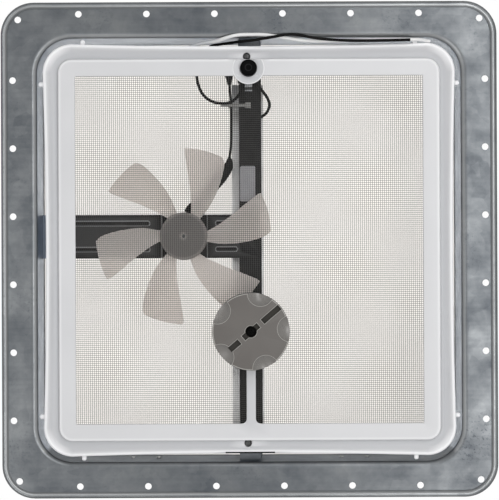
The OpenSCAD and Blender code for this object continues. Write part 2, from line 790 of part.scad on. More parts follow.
module arm_rollers() {
    color("white") for (side = [-1, 1]) difference() {
        near = bar_x + side * (arm_t / 2 + gap);
        far = near + side * roller_w;
        bar_x_axis(roller_d / 2, min(near, far), max(near, far), roller_y, roller_z);
        bar_x_axis(roller_pin_r + fit, min(near, far) - 1, max(near, far) + 1, roller_y, roller_z);
    }
}

// Lid

module lid_profile() {
    r = lid_corner_r;
    in_x = r - ledge_w;
    top_x = in_x - slope_w;
    polygon([
        [r - lid_t, ledge_z - skirt_h], [r, ledge_z - skirt_h], [r, ledge_z + lid_t - 0.8],
        [r - 0.8, ledge_z + lid_t], [in_x + 0.6, ledge_z + lid_t], [top_x + 1, dome_top_z + lid_t - 0.8],
        [top_x - 1, dome_top_z + lid_t], [top_x - 1, dome_top_z], [top_x - 0.4, dome_top_z],
        [in_x - 0.8, ledge_z], [r - lid_t, ledge_z]
    ]);
}

// Places its children in the frame of the track: local -Y runs from the hinge axis towards the roller
module on_track() {
    translate([0, hinge_y, hinge_z]) rotate([-track_angle, 0, 0]) children();
}

function track_posts() = [track_front - 14, (track_front + track_rear) / 2, track_rear + 14];

module dome_lid() {
    color("whitesmoke") {
        difference() {
            union() {
                square_ring(lid_centre) lid_profile();
                rounded_slab(crown_half, lid_corner_r - ledge_w - slope_w, dome_top_z, dome_top_z + lid_t);
                difference() {
                    for (s = track_posts())
                        bar_z_axis(post_r, hinge_z, dome_top_z + 1,
                            track_x, hinge_y - s * cos(track_angle));
                    on_track() box([-60, -track_front - 40, -80], [60, 40, track_out]);
                }
            }
            for (s = track_posts()) on_track() bar_z_axis(post_rivet_r, 0, track_out + 5, track_x, -s);
            for (side = [-1, 1], x = [-1, 1])
                bar_y_axis(screw_r, lid_half - 8, lid_half + 4,
                    side * hinge_x + x * leaf_rivet_x, leaf_rivet_z());
        }
    }
}

module lid_seal() {
    seal_x = seal_half - lid_centre;
    color("dimgray") square_ring(lid_centre) translate([seal_x, ledge_z - seal_h]) square([seal_w, seal_h]);
}

module lid_track() {
    left = track_x - track_w / 2;
    right = track_x + track_w / 2;
    color("lightgray") on_track() difference() {
        box([left, -track_front, -track_out], [right, -track_rear, track_out]);
        box([left + track_t, -track_front - 1, -track_in], [right - track_t, -track_rear + 1, track_in]);
        box([bar_x - slot_half, -track_front - 1, -track_out - 1], [bar_x + slot_half, -track_rear + 1, 0]);
        box([bar_x - bar_w / 2 - 0.7, -lip_rear, -track_out - 1],
            [max(bar_x + bar_w / 2 + 0.5, right - track_t), -track_rear + 1, 0]);
        for (s = track_posts()) bar_z_axis(post_rivet_r, 0, track_out + 1, track_x, -s);
    }
}

module track_rivets() {
    color("silver") on_track() for (s = track_posts()) {
        bar_z_axis(post_rivet_r, track_in - 0.1, track_out + 4.5, track_x, -s);
        bar_z_axis(post_rivet_r + 1.6, track_in - 0.2, track_in, track_x, -s);
    }
}

// Hinges: the leaves turn with the lid on pins held by the brackets

function leaf_rivet_z() = ledge_z - 2.4;
function hinge_rivet_z() = hinge_z - 18;

module hinge_leaves() {
    color("silver") for (side = [-1, 1]) translate([side * hinge_x, 0, 0]) difference() {
        union() {
            box([-leaf_w / 2, lid_half, hinge_z + knuckle_r + 1],
                [leaf_w / 2, lid_half + leaf_t, ledge_z + 1]);
            box([-knuckle_l / 2, lid_half, hinge_z], [knuckle_l / 2, lid_half + leaf_t, ledge_z]);
            bar_x_axis(knuckle_r, -knuckle_l / 2, knuckle_l / 2, hinge_y, hinge_z);
        }
        bar_x_axis(hinge_pin_d / 2 + fit, -leaf_w, leaf_w, hinge_y, hinge_z);
        for (x = [-1, 1])
            bar_y_axis(screw_r, lid_half - 1, lid_half + 5, x * leaf_rivet_x, leaf_rivet_z());
    }
}

module leaf_rivets() {
    color("silver") for (side = [-1, 1], x = [-1, 1])
        pan_screw_y(side * hinge_x + x * leaf_rivet_x, lid_half + leaf_t, leaf_rivet_z(), -1,
            leaf_t + lid_t + 0.6);
}

module hinge_brackets() {
    wall = neck_half + sheet_t;
    arm_z = hinge_z - knuckle_r;
    ear = knuckle_l / 2 + gap;
    color("silver") for (side = [-1, 1]) translate([side * hinge_x, 0, 0]) difference() {
        union() {
            box([-leaf_w / 2, wall, arm_z - hinge_plate_h + leaf_t],
                [leaf_w / 2, wall + leaf_t, arm_z + leaf_t]);
            box([-leaf_w / 2, wall, arm_z], [leaf_w / 2, hinge_y, arm_z + leaf_t]);
            for (x = [-leaf_w / 2, ear]) bar_x_axis(knuckle_r, x, x + leaf_w / 2 - ear, hinge_y, hinge_z);
        }
        box([-ear, hinge_y - knuckle_r - 2, arm_z - 1],
            [ear, hinge_y + knuckle_r + 1, hinge_z + knuckle_r + 1]);
        bar_x_axis(hinge_pin_d / 2, -leaf_w, leaf_w, hinge_y, hinge_z);
        for (x = [-1, 1])
            bar_y_axis(screw_r, wall - 1, wall + 5, x * leaf_rivet_x, hinge_rivet_z());
    }
}

module hinge_rivets() {
    y = neck_half + sheet_t + leaf_t;
    color("silver") for (side = [-1, 1], x = [-1, 1])
        pan_screw_y(side * hinge_x + x * leaf_rivet_x, y, hinge_rivet_z(), -1, leaf_t + sheet_t + 0.8);
}

module hinge_pins() {
    color("silver") for (side = [-1, 1])
        bar_x_axis(hinge_pin_d / 2, side * hinge_x - leaf_w / 2 - 1, side * hinge_x + leaf_w / 2 + 1,
            hinge_y, hinge_z);
}

// Fan

function bracket_tab_screw_z() = bracket_z + 8.5;

module bracket_bead(x0, x1, y) {
    translate([0, y, bracket_z + bracket_bead_r - bracket_bead_h]) intersection() {
        union() {
            bar_x_axis(bracket_bead_r, x0, x1, 0, 0);
            for (x = [x0, x1]) translate([x, 0, 0]) sphere(r = bracket_bead_r);
        }
        box([x0 - 5, -5, -5], [x1 + 5, 5, bracket_bead_h]);
    }
}

module fan_bracket() {
    left = -neck_half + gap / 3;
    y0 = fan_y - bracket_w / 2;
    y1 = fan_y + bracket_w / 2;
    seat0 = fan_x - seat_half;
    seat1 = fan_x + seat_half;
    color("dimgray") difference() {
        union() {
            box([left, y0, bracket_z], [seat0 + bracket_t, y1, bracket_z + bracket_t]);
            box([seat1 - bracket_t, y0, bracket_z], [bracket_right, y1, bracket_z + bracket_t]);
            box([seat0, y0, seat_z], [seat1, y1, seat_back_z]);
            for (x = [seat0, seat1 - bracket_t]) box([x, y0, bracket_z], [x + bracket_t, y1, seat_back_z]);
            box([left, y0, bracket_z], [left + bracket_t, y1, bracket_z + bracket_tab_h]);
            for (y = bracket_bead_y) bracket_bead(left + 8, seat0 - 12, fan_y + y);
            bracket_bead(seat1 + 9, seat1 + 24, fan_y + bracket_bead_y[1]);
            bracket_bead(seat1 + 9, seat1 + 24, fan_y + bracket_bead_y[0]);
        }
        bar_z_axis(motor_nose_r + fit, seat_z - 1, seat_back_z + 1, fan_x, fan_y);
        for (x = [-1, 1])
            bar_z_axis(1.5 + fit, seat_z - 1, seat_back_z + 1, fan_x + x * motor_screw_x, fan_y);
        for (y = [-1, 1])
            bar_z_axis(screw_r + fit, bracket_z - 2, bar_z + 1, bar_x + 2, fan_y + y * bracket_screw_y);
        bar_z_axis(1.3, bracket_z - 2, bar_z + 1, bar_x - 6.3, fan_y + bracket_screw_y - 1.6);
        bar_x_axis(screw_r + fit, left - 1, left + bracket_t + 1, fan_y, bracket_tab_screw_z());
    }
}

module bracket_screws() {
    left = -neck_half + gap / 3 + bracket_t;
    color("silver") {
        for (y = [-1, 1]) {
            bar_z_axis(screw_head_r, bracket_z - screw_head_h, bracket_z,
                bar_x + 2, fan_y + y * bracket_screw_y);
            bar_z_axis(screw_r, bracket_z - eps, bar_back_z + 2.6,
                bar_x + 2, fan_y + y * bracket_screw_y);
        }
        bar_x_axis(screw_head_r, left, left + screw_head_h, fan_y, bracket_tab_screw_z());
        bar_x_axis(screw_r, left - bracket_t - sheet_t - 1.4, left + eps, fan_y, bracket_tab_screw_z());
    }
}

module motor_can() {
    color("silver") difference() {
        union() {
            bar_z_axis(motor_r, seat_back_z, motor_top_z, fan_x, fan_y);
            bar_z_axis(motor_nose_r, seat_z - 1.5, seat_back_z + eps, fan_x, fan_y);
        }
        bar_z_axis(motor_r - motor_wall, seat_back_z + 2.5, motor_top_z + 1, fan_x, fan_y);
        bar_z_axis(motor_shaft_r + fit, seat_z - 3, motor_top_z + 1, fan_x, fan_y);
        for (x = [-1, 1])
            bar_z_axis(1.5, seat_back_z - 1, seat_back_z + 4, fan_x + x * motor_screw_x, fan_y);
    }
}

module motor_cap() {
    color("dimgray") difference() {
        union() {
            bar_z_axis(motor_r - motor_wall, motor_top_z - 2, motor_top_z, fan_x, fan_y);
            bar_z_axis(motor_r - 0.6, motor_top_z, motor_top_z + 1, fan_x, fan_y);
            bar_z_axis(motor_cap_r, motor_top_z, motor_top_z + motor_cap_h, fan_x, fan_y);
        }
        bar_z_axis(motor_shaft_r + fit, motor_top_z - 3, motor_top_z + motor_cap_h - 1, fan_x, fan_y);
    }
}

module motor_screws() {
    color("silver") for (x = [-1, 1]) {
        bar_z_axis(2.7, seat_z - 1.8, seat_z, fan_x + x * motor_screw_x, fan_y);
        bar_z_axis(1.5, seat_z - eps, seat_back_z + 2.4, fan_x + x * motor_screw_x, fan_y);
    }
}

module motor_armature() {
    z0 = seat_back_z + 4.5;
    color("darkgoldenrod") difference() {
        bar_z_axis(armature_r, z0, z0 + armature_l, fan_x, fan_y);
        bar_z_axis(motor_shaft_r, z0 - 1, z0 + armature_l + 1, fan_x, fan_y);
    }
}

module motor_shaft() {
    color("silver") bar_z_axis(motor_shaft_r, hub_z + 0.4, motor_top_z + 1.4, fan_x, fan_y);
}

// Blade plan: the front edge is nearly radial, the rear edge sweeps back to the hub
module blade_plan() {
    root = hub_r - hub_wall;
    span = tip_r - root;
    polygon([for (p = concat(blade_front, blade_back))
        let (r = root + p[0] * span) [r * sin(p[1]), -r * cos(p[1])]]);
}

module blade() {
    lean = 15;
    intersection() {
        translate([0, 0, hub_z]) linear_extrude(hub_h) blade_plan();
        translate([0, 0, blade_mid_z]) rotate(lean) rotate([0, blade_pitch, 0])
            translate([-50, -tip_r - 5, -blade_t / 2]) cube([100, tip_r + 5, blade_t]);
        difference() {
            bar_z_axis(tip_r, 0, 60, 0, 0);
            bar_z_axis(hub_r - hub_wall / 2, -1, 61, 0, 0);
        }
    }
}

module fan_rotor() {
    color("lightgray") translate([fan_x, fan_y, 0]) {
        difference() {
            union() {
                difference() {
                    bar_z_axis(hub_r, hub_z, hub_back_z, 0, 0);
                    bar_z_axis(hub_r - hub_wall, hub_z + hub_wall, hub_back_z + 1, 0, 0);
                }
                bar_z_axis(hub_boss_r, hub_z, hub_back_z, 0, 0);
                for (i = [0:blades - 1]) rotate(i * 360 / blades) blade();
            }
            bar_z_axis(motor_shaft_r, hub_z - 1, hub_back_z + 1, 0, 0);
        }
    }
}

// Switch

module switch_bracket() {
    back = switch_tab_y + switch_foot_l;
    color("silver") difference() {
        union() {
            box([switch_x - plate_half_w, switch_y - switch_front, plate_z],
                [switch_x + plate_half_w, switch_y + switch_back - 1, plate_z + plate_t]);
            box([switch_x - switch_tab_w / 2, switch_y, plate_z],
                [switch_x + switch_tab_w / 2, switch_tab_y + plate_t, plate_z + plate_t]);
            box([switch_x - switch_tab_w / 2, switch_tab_y, plate_z],
                [switch_x + switch_tab_w / 2, switch_tab_y + plate_t, bar_z]);
            box([switch_x - switch_tab_w / 2, switch_tab_y, bar_z - plate_t],
                [switch_x + switch_tab_w / 2, back, bar_z]);
        }
        bar_z_axis(bush_r + fit, plate_z - 1, plate_z + 3, switch_x, switch_y);
        bar_z_axis(screw_r + fit, bar_z - 3, bar_z + 1, switch_x, switch_tab_y + switch_foot_l / 2);
    }
}

module switch_rivet() {
    y = switch_tab_y + switch_foot_l / 2;
    color("silver") {
        bar_z_axis(2.7, bar_z - plate_t - 1.2, bar_z - plate_t, switch_x, y);
        bar_z_axis(screw_r, bar_z - plate_t - eps, bar_back_z + 0.6, switch_x, y);
        bar_z_axis(2.7, bar_back_z, bar_back_z + 0.8, switch_x, y);
    }
}

module switch_body() {
    color("black") difference() {
        union() {
            box([switch_x - switch_half_w, switch_y - switch_front, plate_z + plate_t],
                [switch_x + switch_half_w, switch_y + switch_back, switch_back_z]);
            bar_z_axis(bush_r, bush_z, plate_z + plate_t + eps, switch_x, switch_y);
        }
        bar_z_axis(stem_r + fit, bush_z - 1, plate_z + plate_t + 6, switch_x, switch_y);
    }
}

module switch_nut() {
    color("silver") difference() {
        bar_z_axis(nut_r, plate_z - 2.2, plate_z, switch_x, switch_y);
        bar_z_axis(bush_r, plate_z - 3, plate_z + 1, switch_x, switch_y);
    }
}

module switch_button() {
    color("black") difference() {
        union() {
            bar_z_axis(button_r, button_z, button_z + button_h, switch_x, switch_y);
            bar_z_axis(stem_r, button_z + button_h - eps, plate_z + plate_t + 3, switch_x, switch_y);
        }
        bar_z_axis(button_r - 2.4, button_z - 1, button_z + 0.6, switch_x, switch_y);
    }
}

// Wiring

module white_supply_lead() {
    color("white") tube(white_route, white_d);
}

module black_supply_lead() {
    color("black") tube(black_route, black_d);
}

module left_switch_lead() {
    color("black") tube(left_route, lead_d);
}

module right_switch_lead() {
    color("black") tube(right_route, lead_d);
}

module motor_wire() {
    color("black") tube(motor_wire_route, motor_wire_d);
}

module motor_sleeve() {
    color("black") tube(sleeve_route, sleeve_d);
}

module splice_tape() {
    color("black") tube(splice_route, splice_d);
}

module cable_tie() {
    back = bar_z + bar_flange_h + 1;
    right = tie_hole_x + tie_t / 2;
    y0 = tie_y - tie_w / 2;
    y1 = tie_y + tie_w / 2;
    color("whitesmoke") {
        difference() {
            box([tie_left, y0, bar_z - 2.6], [right, y1, back + tie_t]);
            box([tie_left + tie_t, y0 - 1, bar_z - 2.6 + tie_t], [right - tie_t, y1 + 1, back]);
        }
        box([tie_left - 6.5, y0, bar_z - 2.6], [tie_left + eps, y1, bar_z - 2.6 + tie_t]);
        box([right - tie_t, y0 - 1, bar_z - 4.2], [right + 3.6, y1 + 1, bar_z - 0.2]);
    }
}

roof_base();
screen_frame();
insect_screen();
frame_screws();
screen_tabs();
operator_bar();
bar_screws();
rating_label();
gear_housing();
housing_screws();
crank_shaft();
worm();
crank_knob();
knob_screw();
lift_arm();
arm_pivot_pin();
roller_pin();
arm_rollers();
dome_lid();
lid_seal();
lid_track();
track_rivets();
hinge_leaves();
leaf_rivets();
hinge_brackets();
hinge_rivets();
hinge_pins();
fan_bracket();
bracket_screws();
motor_can();
motor_cap();
motor_screws();
motor_armature();
motor_shaft();
fan_rotor();
switch_bracket();
switch_rivet();
switch_body();
switch_nut();
switch_button();
white_supply_lead();
black_supply_lead();
left_switch_lead();
right_switch_lead();
motor_wire();
motor_sleeve();
splice_tape();
cable_tie();
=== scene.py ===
import math
from collections import namedtuple

import bmesh
import bpy
from mathutils import Matrix, Vector


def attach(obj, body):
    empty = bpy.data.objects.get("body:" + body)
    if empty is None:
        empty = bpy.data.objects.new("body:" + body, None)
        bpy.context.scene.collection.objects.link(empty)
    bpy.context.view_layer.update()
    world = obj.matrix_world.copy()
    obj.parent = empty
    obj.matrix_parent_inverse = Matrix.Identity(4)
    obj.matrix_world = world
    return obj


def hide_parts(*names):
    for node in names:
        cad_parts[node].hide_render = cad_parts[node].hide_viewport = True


# Caravan roof vent seen from inside. Shape sizes are in millimetres and become metres through MM.
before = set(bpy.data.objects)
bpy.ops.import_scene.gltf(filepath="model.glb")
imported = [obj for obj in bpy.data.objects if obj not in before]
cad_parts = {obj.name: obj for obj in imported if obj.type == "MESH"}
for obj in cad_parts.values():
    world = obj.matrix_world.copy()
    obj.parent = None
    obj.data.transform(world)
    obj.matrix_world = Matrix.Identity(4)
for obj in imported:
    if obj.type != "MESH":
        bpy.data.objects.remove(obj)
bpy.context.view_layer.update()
scene = bpy.context.scene
scene.view_settings.view_transform = "Standard"
MM = 0.001


def at(x, y, z):
    """A point of the part, given in millimetres."""
    return Vector((x, y, z)) * MM


def show(name, data):
    """A new object in the scene, at the origin."""
    obj = bpy.data.objects.new(name, data)
    scene.collection.objects.link(obj)
    return obj


# Camera: square on to the vent from below, at the distance where a 36 mm sensor frames the flange

CAMERA_FAR = 1.3
SEEN_WIDTH = 0.4216
SENSOR = 36
ROLL = 0.0043
CAMERA_SHIFT = (0.00005, 0.00025)

lens = bpy.data.cameras.new("camera")
lens.sensor_fit = "HORIZONTAL"
lens.sensor_width = SENSOR
lens.lens = SENSOR * CAMERA_FAR / SEEN_WIDTH
camera = show("camera", lens)
camera.location = (*CAMERA_SHIFT, -CAMERA_FAR)
camera.rotation_euler = (math.pi, 0, ROLL)
scene.camera = camera

# Shared surface effects


def effect(name, inputs, outputs):
    """A shader group with named sockets, and the sockets that its nodes take from and give to."""
    group = bpy.data.node_groups.new(name, "ShaderNodeTree")
    for label, value in inputs.items():
        kind = "NodeSocketColor" if isinstance(value, tuple) else "NodeSocketFloat"
        group.interface.new_socket(name=label, in_out="INPUT", socket_type=kind).default_value = value
    for label in outputs:
        kind = "NodeSocketColor" if label == "Color" else "NodeSocketFloat"
        group.interface.new_socket(name=label, in_out="OUTPUT", socket_type=kind)
    taken = group.nodes.new("NodeGroupInput").outputs
    given = group.nodes.new("NodeGroupOutput").inputs
    return group, taken, given


def fill(tree, socket, value):
    """Sets a socket to a constant or links another socket to it."""
    if isinstance(value, bpy.types.NodeSocket):
        tree.links.new(value, socket)
    else:
        socket.default_value = value


def new_node(tree, kind, inputs, **settings):
    """The outputs of a new shader node, with its settings made and its sockets filled by label or index."""
    node = tree.nodes.new(kind)
    for label, value in settings.items():
        setattr(node, label, value)
    for key, value in inputs.items():
        fill(tree, node.inputs[key], value)
    return node.outputs


def math_node(tree, how, first, second=0.0):
    return new_node(tree, "ShaderNodeMath", {0: first, 1: second}, operation=how)[0]


def mix_node(tree, share, first, second):
    return new_node(tree, "ShaderNodeMix", {0: share, 6: first, 7: second}, data_type="RGBA")[2]


def span_node(tree, *parts):
    """Maps a value from one span, low to high, to another."""
    return new_node(tree, "ShaderNodeMapRange", dict(enumerate(parts)))[0]


def noise_node(tree, vector, scale, detail, roughness=0.55):
    inputs = {"Vector": vector, "Scale": scale, "Detail": detail, "Roughness": roughness}
    return new_node(tree, "ShaderNodeTexNoise", inputs)[0]


def grain_effect():
    """Patches of two tones under a fine grain, for mouldings, paint, rubber and plate."""
    tree, taken, given = effect("patch and grain", {
        "Dark": (0.4, 0.4, 0.4, 1), "Light": (0.5, 0.5, 0.5, 1), "Patches per metre": 20.0,
        "Grains per metre": 900.0, "Smooth": 0.4, "Dull": 0.5}, ["Color", "Roughness", "Height"])
    place = new_node(tree, "ShaderNodeTexCoord", {})["Object"]
    patch = noise_node(tree, place, taken["Patches per metre"], 4.0)
    grain = noise_node(tree, place, taken["Grains per metre"], 2.0)
    both = math_node(tree, "ADD", math_node(tree, "MULTIPLY", patch, 0.7), math_node(tree, "MULTIPLY", grain, 0.3))
    share = span_node(tree, both, 0.32, 0.68, 0.0, 1.0)
    fill(tree, given["Color"], mix_node(tree, share, taken["Dark"], taken["Light"]))
    fill(tree, given["Roughness"], span_node(tree, both, 0.32, 0.68, taken["Smooth"], taken["Dull"]))
    fill(tree, given["Height"], grain)
    return tree


SPECK_DEPTH = 0.14
CRYSTAL_BEND = 0.006
STREAKS = (14.0, 260.0, 60.0)


def spangle_effect():
    """Zinc crystals: cells of slightly different grey under cloudy stains, rolling streaks and patches of specks."""
    tree, taken, given = effect("zinc spangle", {
        "Dark": (0.1, 0.11, 0.12, 1), "Light": (0.2, 0.21, 0.22, 1), "Crystals per metre": 90.0},
        ["Color", "Roughness", "Height"])
    place = new_node(tree, "ShaderNodeTexCoord", {})["Object"]
    bent = new_node(tree, "ShaderNodeTexNoise", {"Vector": place, "Scale": 120.0})["Color"]
    shift = new_node(tree, "ShaderNodeVectorMath", {0: bent, 1: (CRYSTAL_BEND,) * 3, 2: place},
                     operation="MULTIPLY_ADD")[0]
    cells = new_node(tree, "ShaderNodeTexVoronoi", {"Vector": shift, "Scale": taken["Crystals per metre"]})
    crystal = new_node(tree, "ShaderNodeSeparateColor", {0: cells["Color"]})[0]
    cloud = noise_node(tree, place, 11.0, 5.0, 0.6)
    stain = noise_node(tree, place, 34.0, 6.0, 0.65)
    streaks = new_node(tree, "ShaderNodeMapping", {"Vector": place, "Scale": STREAKS})[0]
    streak = noise_node(tree, streaks, 1.0, 3.0)
    parts = [(crystal, 0.05), (cloud, 0.45), (stain, 0.40), (streak, 0.10)]
    total = math_node(tree, "MULTIPLY", parts[0][0], parts[0][1])
    for part, weight in parts[1:]:
        total = math_node(tree, "ADD", total, math_node(tree, "MULTIPLY", part, weight))
    speck = span_node(tree, noise_node(tree, place, 420.0, 3.0, 0.7), 0.54, 0.66, 0.0, 1.0)
    where = span_node(tree, noise_node(tree, place, 10.0, 3.0), 0.5, 0.64, 0.0, SPECK_DEPTH)
    total = math_node(tree, "SUBTRACT", total, math_node(tree, "MULTIPLY", speck, where))
    share = span_node(tree, total, 0.35, 0.63, 0.0, 1.0)
    fill(tree, given["Color"], mix_node(tree, share, taken["Dark"], taken["Light"]))
    fill(tree, given["Roughness"], span_node(tree, total, 0.38, 0.6, 0.44, 0.3))
    fill(tree, given["Height"], stain)
    return tree


def shade_and_highlight_effect():
    """Darkens or lightens a colour by the piece's own tone attribute: painted shade below 0, painted highlight above
    0.
    """
    tree, taken, given = effect("worn tone", {
        "Color": (0.2, 0.2, 0.2, 1), "Painted shade": (0.03, 0.03, 0.03, 1), "Painted highlight": (0.6, 0.6, 0.6, 1)}, ["Color"])
    mark = new_node(tree, "ShaderNodeAttribute", {}, attribute_name="tone")["Fac"]
    painted_highlight = math_node(tree, "MAXIMUM", mark, 0.0)
    painted_shade = math_node(tree, "MULTIPLY", math_node(tree, "MINIMUM", mark, 0.0), -1.0)
    light = mix_node(tree, painted_highlight, taken["Color"], taken["Painted highlight"])
    fill(tree, given["Color"], mix_node(tree, painted_shade, light, taken["Painted shade"]))
    return tree


GRAIN = grain_effect()
SPANGLE = spangle_effect()
SHADE_AND_HIGHLIGHT = shade_and_highlight_effect()

# Finishes


def grey(level, warm=0.0):
    """A grey, a little warm or cool."""
    return (level * (1 + warm), level, level * (1 - warm), 1)


def finish(name, group, values, bump, depth, painted_light=None, **shader):
    """A material whose colour, roughness and relief come from one of the shared effects, with painted shade and
    highlight mixed in by the tone where their two colours are given.
    """
    made = bpy.data.materials.new(name)
    made.use_nodes = True
    tree = made.node_tree
    surface = tree.nodes["Principled BSDF"]
    for label, value in shader.items():
        surface.inputs[label.replace("_", " ")].default_value = value
    pattern = new_node(tree, "ShaderNodeGroup", values, node_tree=group)
    colour = pattern["Color"]
    if painted_light:
        tones = {"Color": colour, "Painted shade": painted_light[0], "Painted highlight": painted_light[1]}
        colour = new_node(tree, "ShaderNodeGroup", tones, node_tree=SHADE_AND_HIGHLIGHT)["Color"]
    relief = new_node(tree, "ShaderNodeBump", {"Strength": bump, "Distance": depth, "Height": pattern["Height"]})
    for label, value in (("Base Color", colour), ("Roughness", pattern["Roughness"]), ("Normal", relief["Normal"])):
        fill(tree, surface.inputs[label], value)
    return made


def grained(name, dark, light, patches, grains, smooth, dull, bump=0.15, depth=0.0002, painted_light=None, **shader):
    values = {"Dark": dark, "Light": light, "Patches per metre": patches, "Grains per metre": grains,
              "Smooth": smooth, "Dull": dull}
    return finish(name, GRAIN, values, bump, depth, painted_light, **shader)


# Where a finish takes a pair of extra colours, the first is a painted shade and the second a painted highlight, mixed
# in by the tone that each point of the piece carries.
GALVANISED = finish(
    "galvanised steel", SPANGLE,
    {"Dark": (0.05, 0.056, 0.064, 1), "Light": (0.13, 0.136, 0.14, 1), "Crystals per metre": 95.0},
    0.1, 0.0003, painted_light=((0.03, 0.033, 0.037, 1), (0.56, 0.57, 0.57, 1)), Metallic=1.0)
# Zinc painted much lighter than the other zinc parts: painted light on the track, which lies in the bar's shade.
TRACK_STEEL_PAINTED_LIGHT = grained("dull track", grey(0.58, 0.01), grey(0.76), 60, 1400, 0.26, 0.4, 0.08, Metallic=1.0)
# A lighter, bluer copy of the galvanised finish for the neck wall: a painted reflection of the bright surround that
# the wall faces at a glancing view.
NECK_STEEL_PAINTED_SHEEN = finish(
    "galvanised neck wall", SPANGLE,
    {"Dark": (0.29, 0.328, 0.383, 1), "Light": (0.41, 0.46, 0.525, 1), "Crystals per metre": 95.0},
    0.1, 0.0003, painted_light=((0.05, 0.055, 0.06, 1), (0.62, 0.67, 0.74, 1)), Metallic=1.0)
# The tone tints the neck wall's reflection too: painted shade on the crank side and below the rim, painted highlight
# on the lead side.
neck_tree = NECK_STEEL_PAINTED_SHEEN.node_tree
painted_reflection_light = {"Color": (0.95, 0.97, 1, 1), "Painted shade": (0.3, 0.31, 0.32, 1), "Painted highlight": (1, 1, 1, 1)}
fill(neck_tree, neck_tree.nodes["Principled BSDF"].inputs["Specular Tint"],
     new_node(neck_tree, "ShaderNodeGroup", painted_reflection_light, node_tree=SHADE_AND_HIGHLIGHT)[0])
ZINC = grained("zinc plate", grey(0.36, 0.01), grey(0.52), 60, 1400, 0.26, 0.4, 0.08, Metallic=1.0)
PAINT_STOPS, TAB_PAINT_STOPS = 0.1715, 0.1378


def black_paint(name, stops, metal):
    """Satin black paint that stops short of where a strip meets the neck wall or the switch."""
    made = grained(name, grey(0.011), grey(0.02), 40, 700, 0.36, 0.5, 0.14, 0.0002,
                   painted_light=((0.006, 0.006, 0.006, 1), (0.62, 0.63, 0.64, 1)), Specular_IOR_Level=0.12)
    tree = made.node_tree
    surface = tree.nodes["Principled BSDF"]
    here = new_node(tree, "ShaderNodeTexCoord", {})["Object"]
    place = new_node(tree, "ShaderNodeSeparateXYZ", {0: here})
    out = math_node(tree, "MAXIMUM", math_node(tree, "ABSOLUTE", place[0]), math_node(tree, "ABSOLUTE", place[1]))
    bare = math_node(tree, "GREATER_THAN", out, stops)
    painted = surface.inputs["Base Color"].links[0].from_socket
    fill(tree, surface.inputs["Base Color"], mix_node(tree, bare, painted, metal))
    fill(tree, surface.inputs["Metallic"], bare)
    return made


# The bare ends take metal colours painted to match the neck wall beside them: painted sheen on the fan bracket's end,
# painted shade on the bar's ends.
BLACK_PAINT = black_paint("satin black paint", PAINT_STOPS, (0.3, 0.34, 0.4, 1))
BAR_PAINT = black_paint("satin black bar paint", PAINT_STOPS, (0.16, 0.17, 0.18, 1))
HALF_PAINTED = black_paint("part painted tab", TAB_PAINT_STOPS, (0.38, 0.39, 0.4, 1))
WHITE_MOULDING = grained(
    "white moulding", (0.668, 0.67, 0.683, 1), (0.716, 0.718, 0.731, 1), 16, 1500, 0.36, 0.46, 0.05, 0.0001,
    painted_light=((0.36, 0.37, 0.39, 1), (0.96, 0.96, 0.97, 1)))
DOME_MOULDING = grained(
    "dome moulding", (0.87, 0.845, 0.81, 1), (0.93, 0.91, 0.885, 1), 12, 900, 0.55, 0.65, 0.05, 0.0001,
    Transmission_Weight=0.8, IOR=1.25)
FAN_MOULDING = grained(
    "smoky fan moulding", (0.95, 0.895, 0.86, 1), (1.0, 0.955, 0.92, 1), 22, 900, 0.64, 0.74, 0.06, 0.0001,
    painted_light=((0.15, 0.142, 0.133, 1), (1.0, 0.97, 0.94, 1)), Transmission_Weight=0.5, IOR=1.22, Specular_IOR_Level=0.2)
KNOB_MOULDING = grained(
    "warm grey knob moulding", (0.125, 0.115, 0.107, 1), (0.142, 0.132, 0.122, 1), 30, 1600, 0.42, 0.52, 0.12,
    Specular_IOR_Level=0.3)
# Painted sheen: a lighter copy of the knob moulding for the finger hollows.
KNOB_HOLLOW_SHEEN = grained(
    "finger hollows of the knob", (0.17, 0.162, 0.152, 1), (0.2, 0.19, 0.178, 1), 60, 1600, 0.24, 0.32, 0.1)
# Painted highlight: a much lighter copy of the knob moulding for its chamfered edges.
KNOB_EDGE_HIGHLIGHT = grained(
    "worn edge of the knob", (0.34, 0.33, 0.31, 1), (0.4, 0.39, 0.365, 1), 60, 1600, 0.36, 0.46, 0.1)
# Painted shade: a near-black copy of the knob moulding for the floors of the grooves and the screw well.
KNOB_GROOVE_SHADE = grained(
    "floor of the knob grooves", (0.022, 0.02, 0.017, 1), (0.034, 0.031, 0.026, 1), 60, 1600, 0.5, 0.6, 0.1,
    Specular_IOR_Level=0.2)
BLACK_MOULDING = grained("black moulding", grey(0.003), grey(0.005), 50, 1500, 0.36, 0.5, 0.14,
                         painted_light=((0.001, 0.001, 0.001, 1), (0.03, 0.03, 0.031, 1)), Specular_IOR_Level=0.02)
GREY_MOULDING = grained("grey gear moulding", grey(0.24, -0.02), grey(0.32, -0.02), 40, 1300, 0.42, 0.55, 0.12)
NYLON = grained("natural nylon", (0.66, 0.65, 0.6, 1), (0.74, 0.73, 0.68, 1), 60, 1400, 0.34, 0.46, 0.06,
                Subsurface_Weight=0.3, Subsurface_Scale=0.002)
FOAM = grained("closed cell foam", grey(0.035), grey(0.085), 160, 1100, 0.8, 0.95, 0.5, 0.0005)
STRAND = grained("screen strand", grey(0.045, 0.03), grey(0.085, 0.03), 90, 2500, 0.5, 0.65, 0.1,
                 Specular_IOR_Level=0.15)
DARK_STEEL = grained("dark steel", grey(0.03), grey(0.09), 260, 1600, 0.28, 0.42, 0.2, 0.0003, Metallic=1.0)
TIE = grained("grey nylon tie", (0.33, 0.325, 0.31, 1), (0.43, 0.425, 0.41, 1), 90, 1500, 0.36, 0.48, 0.08)
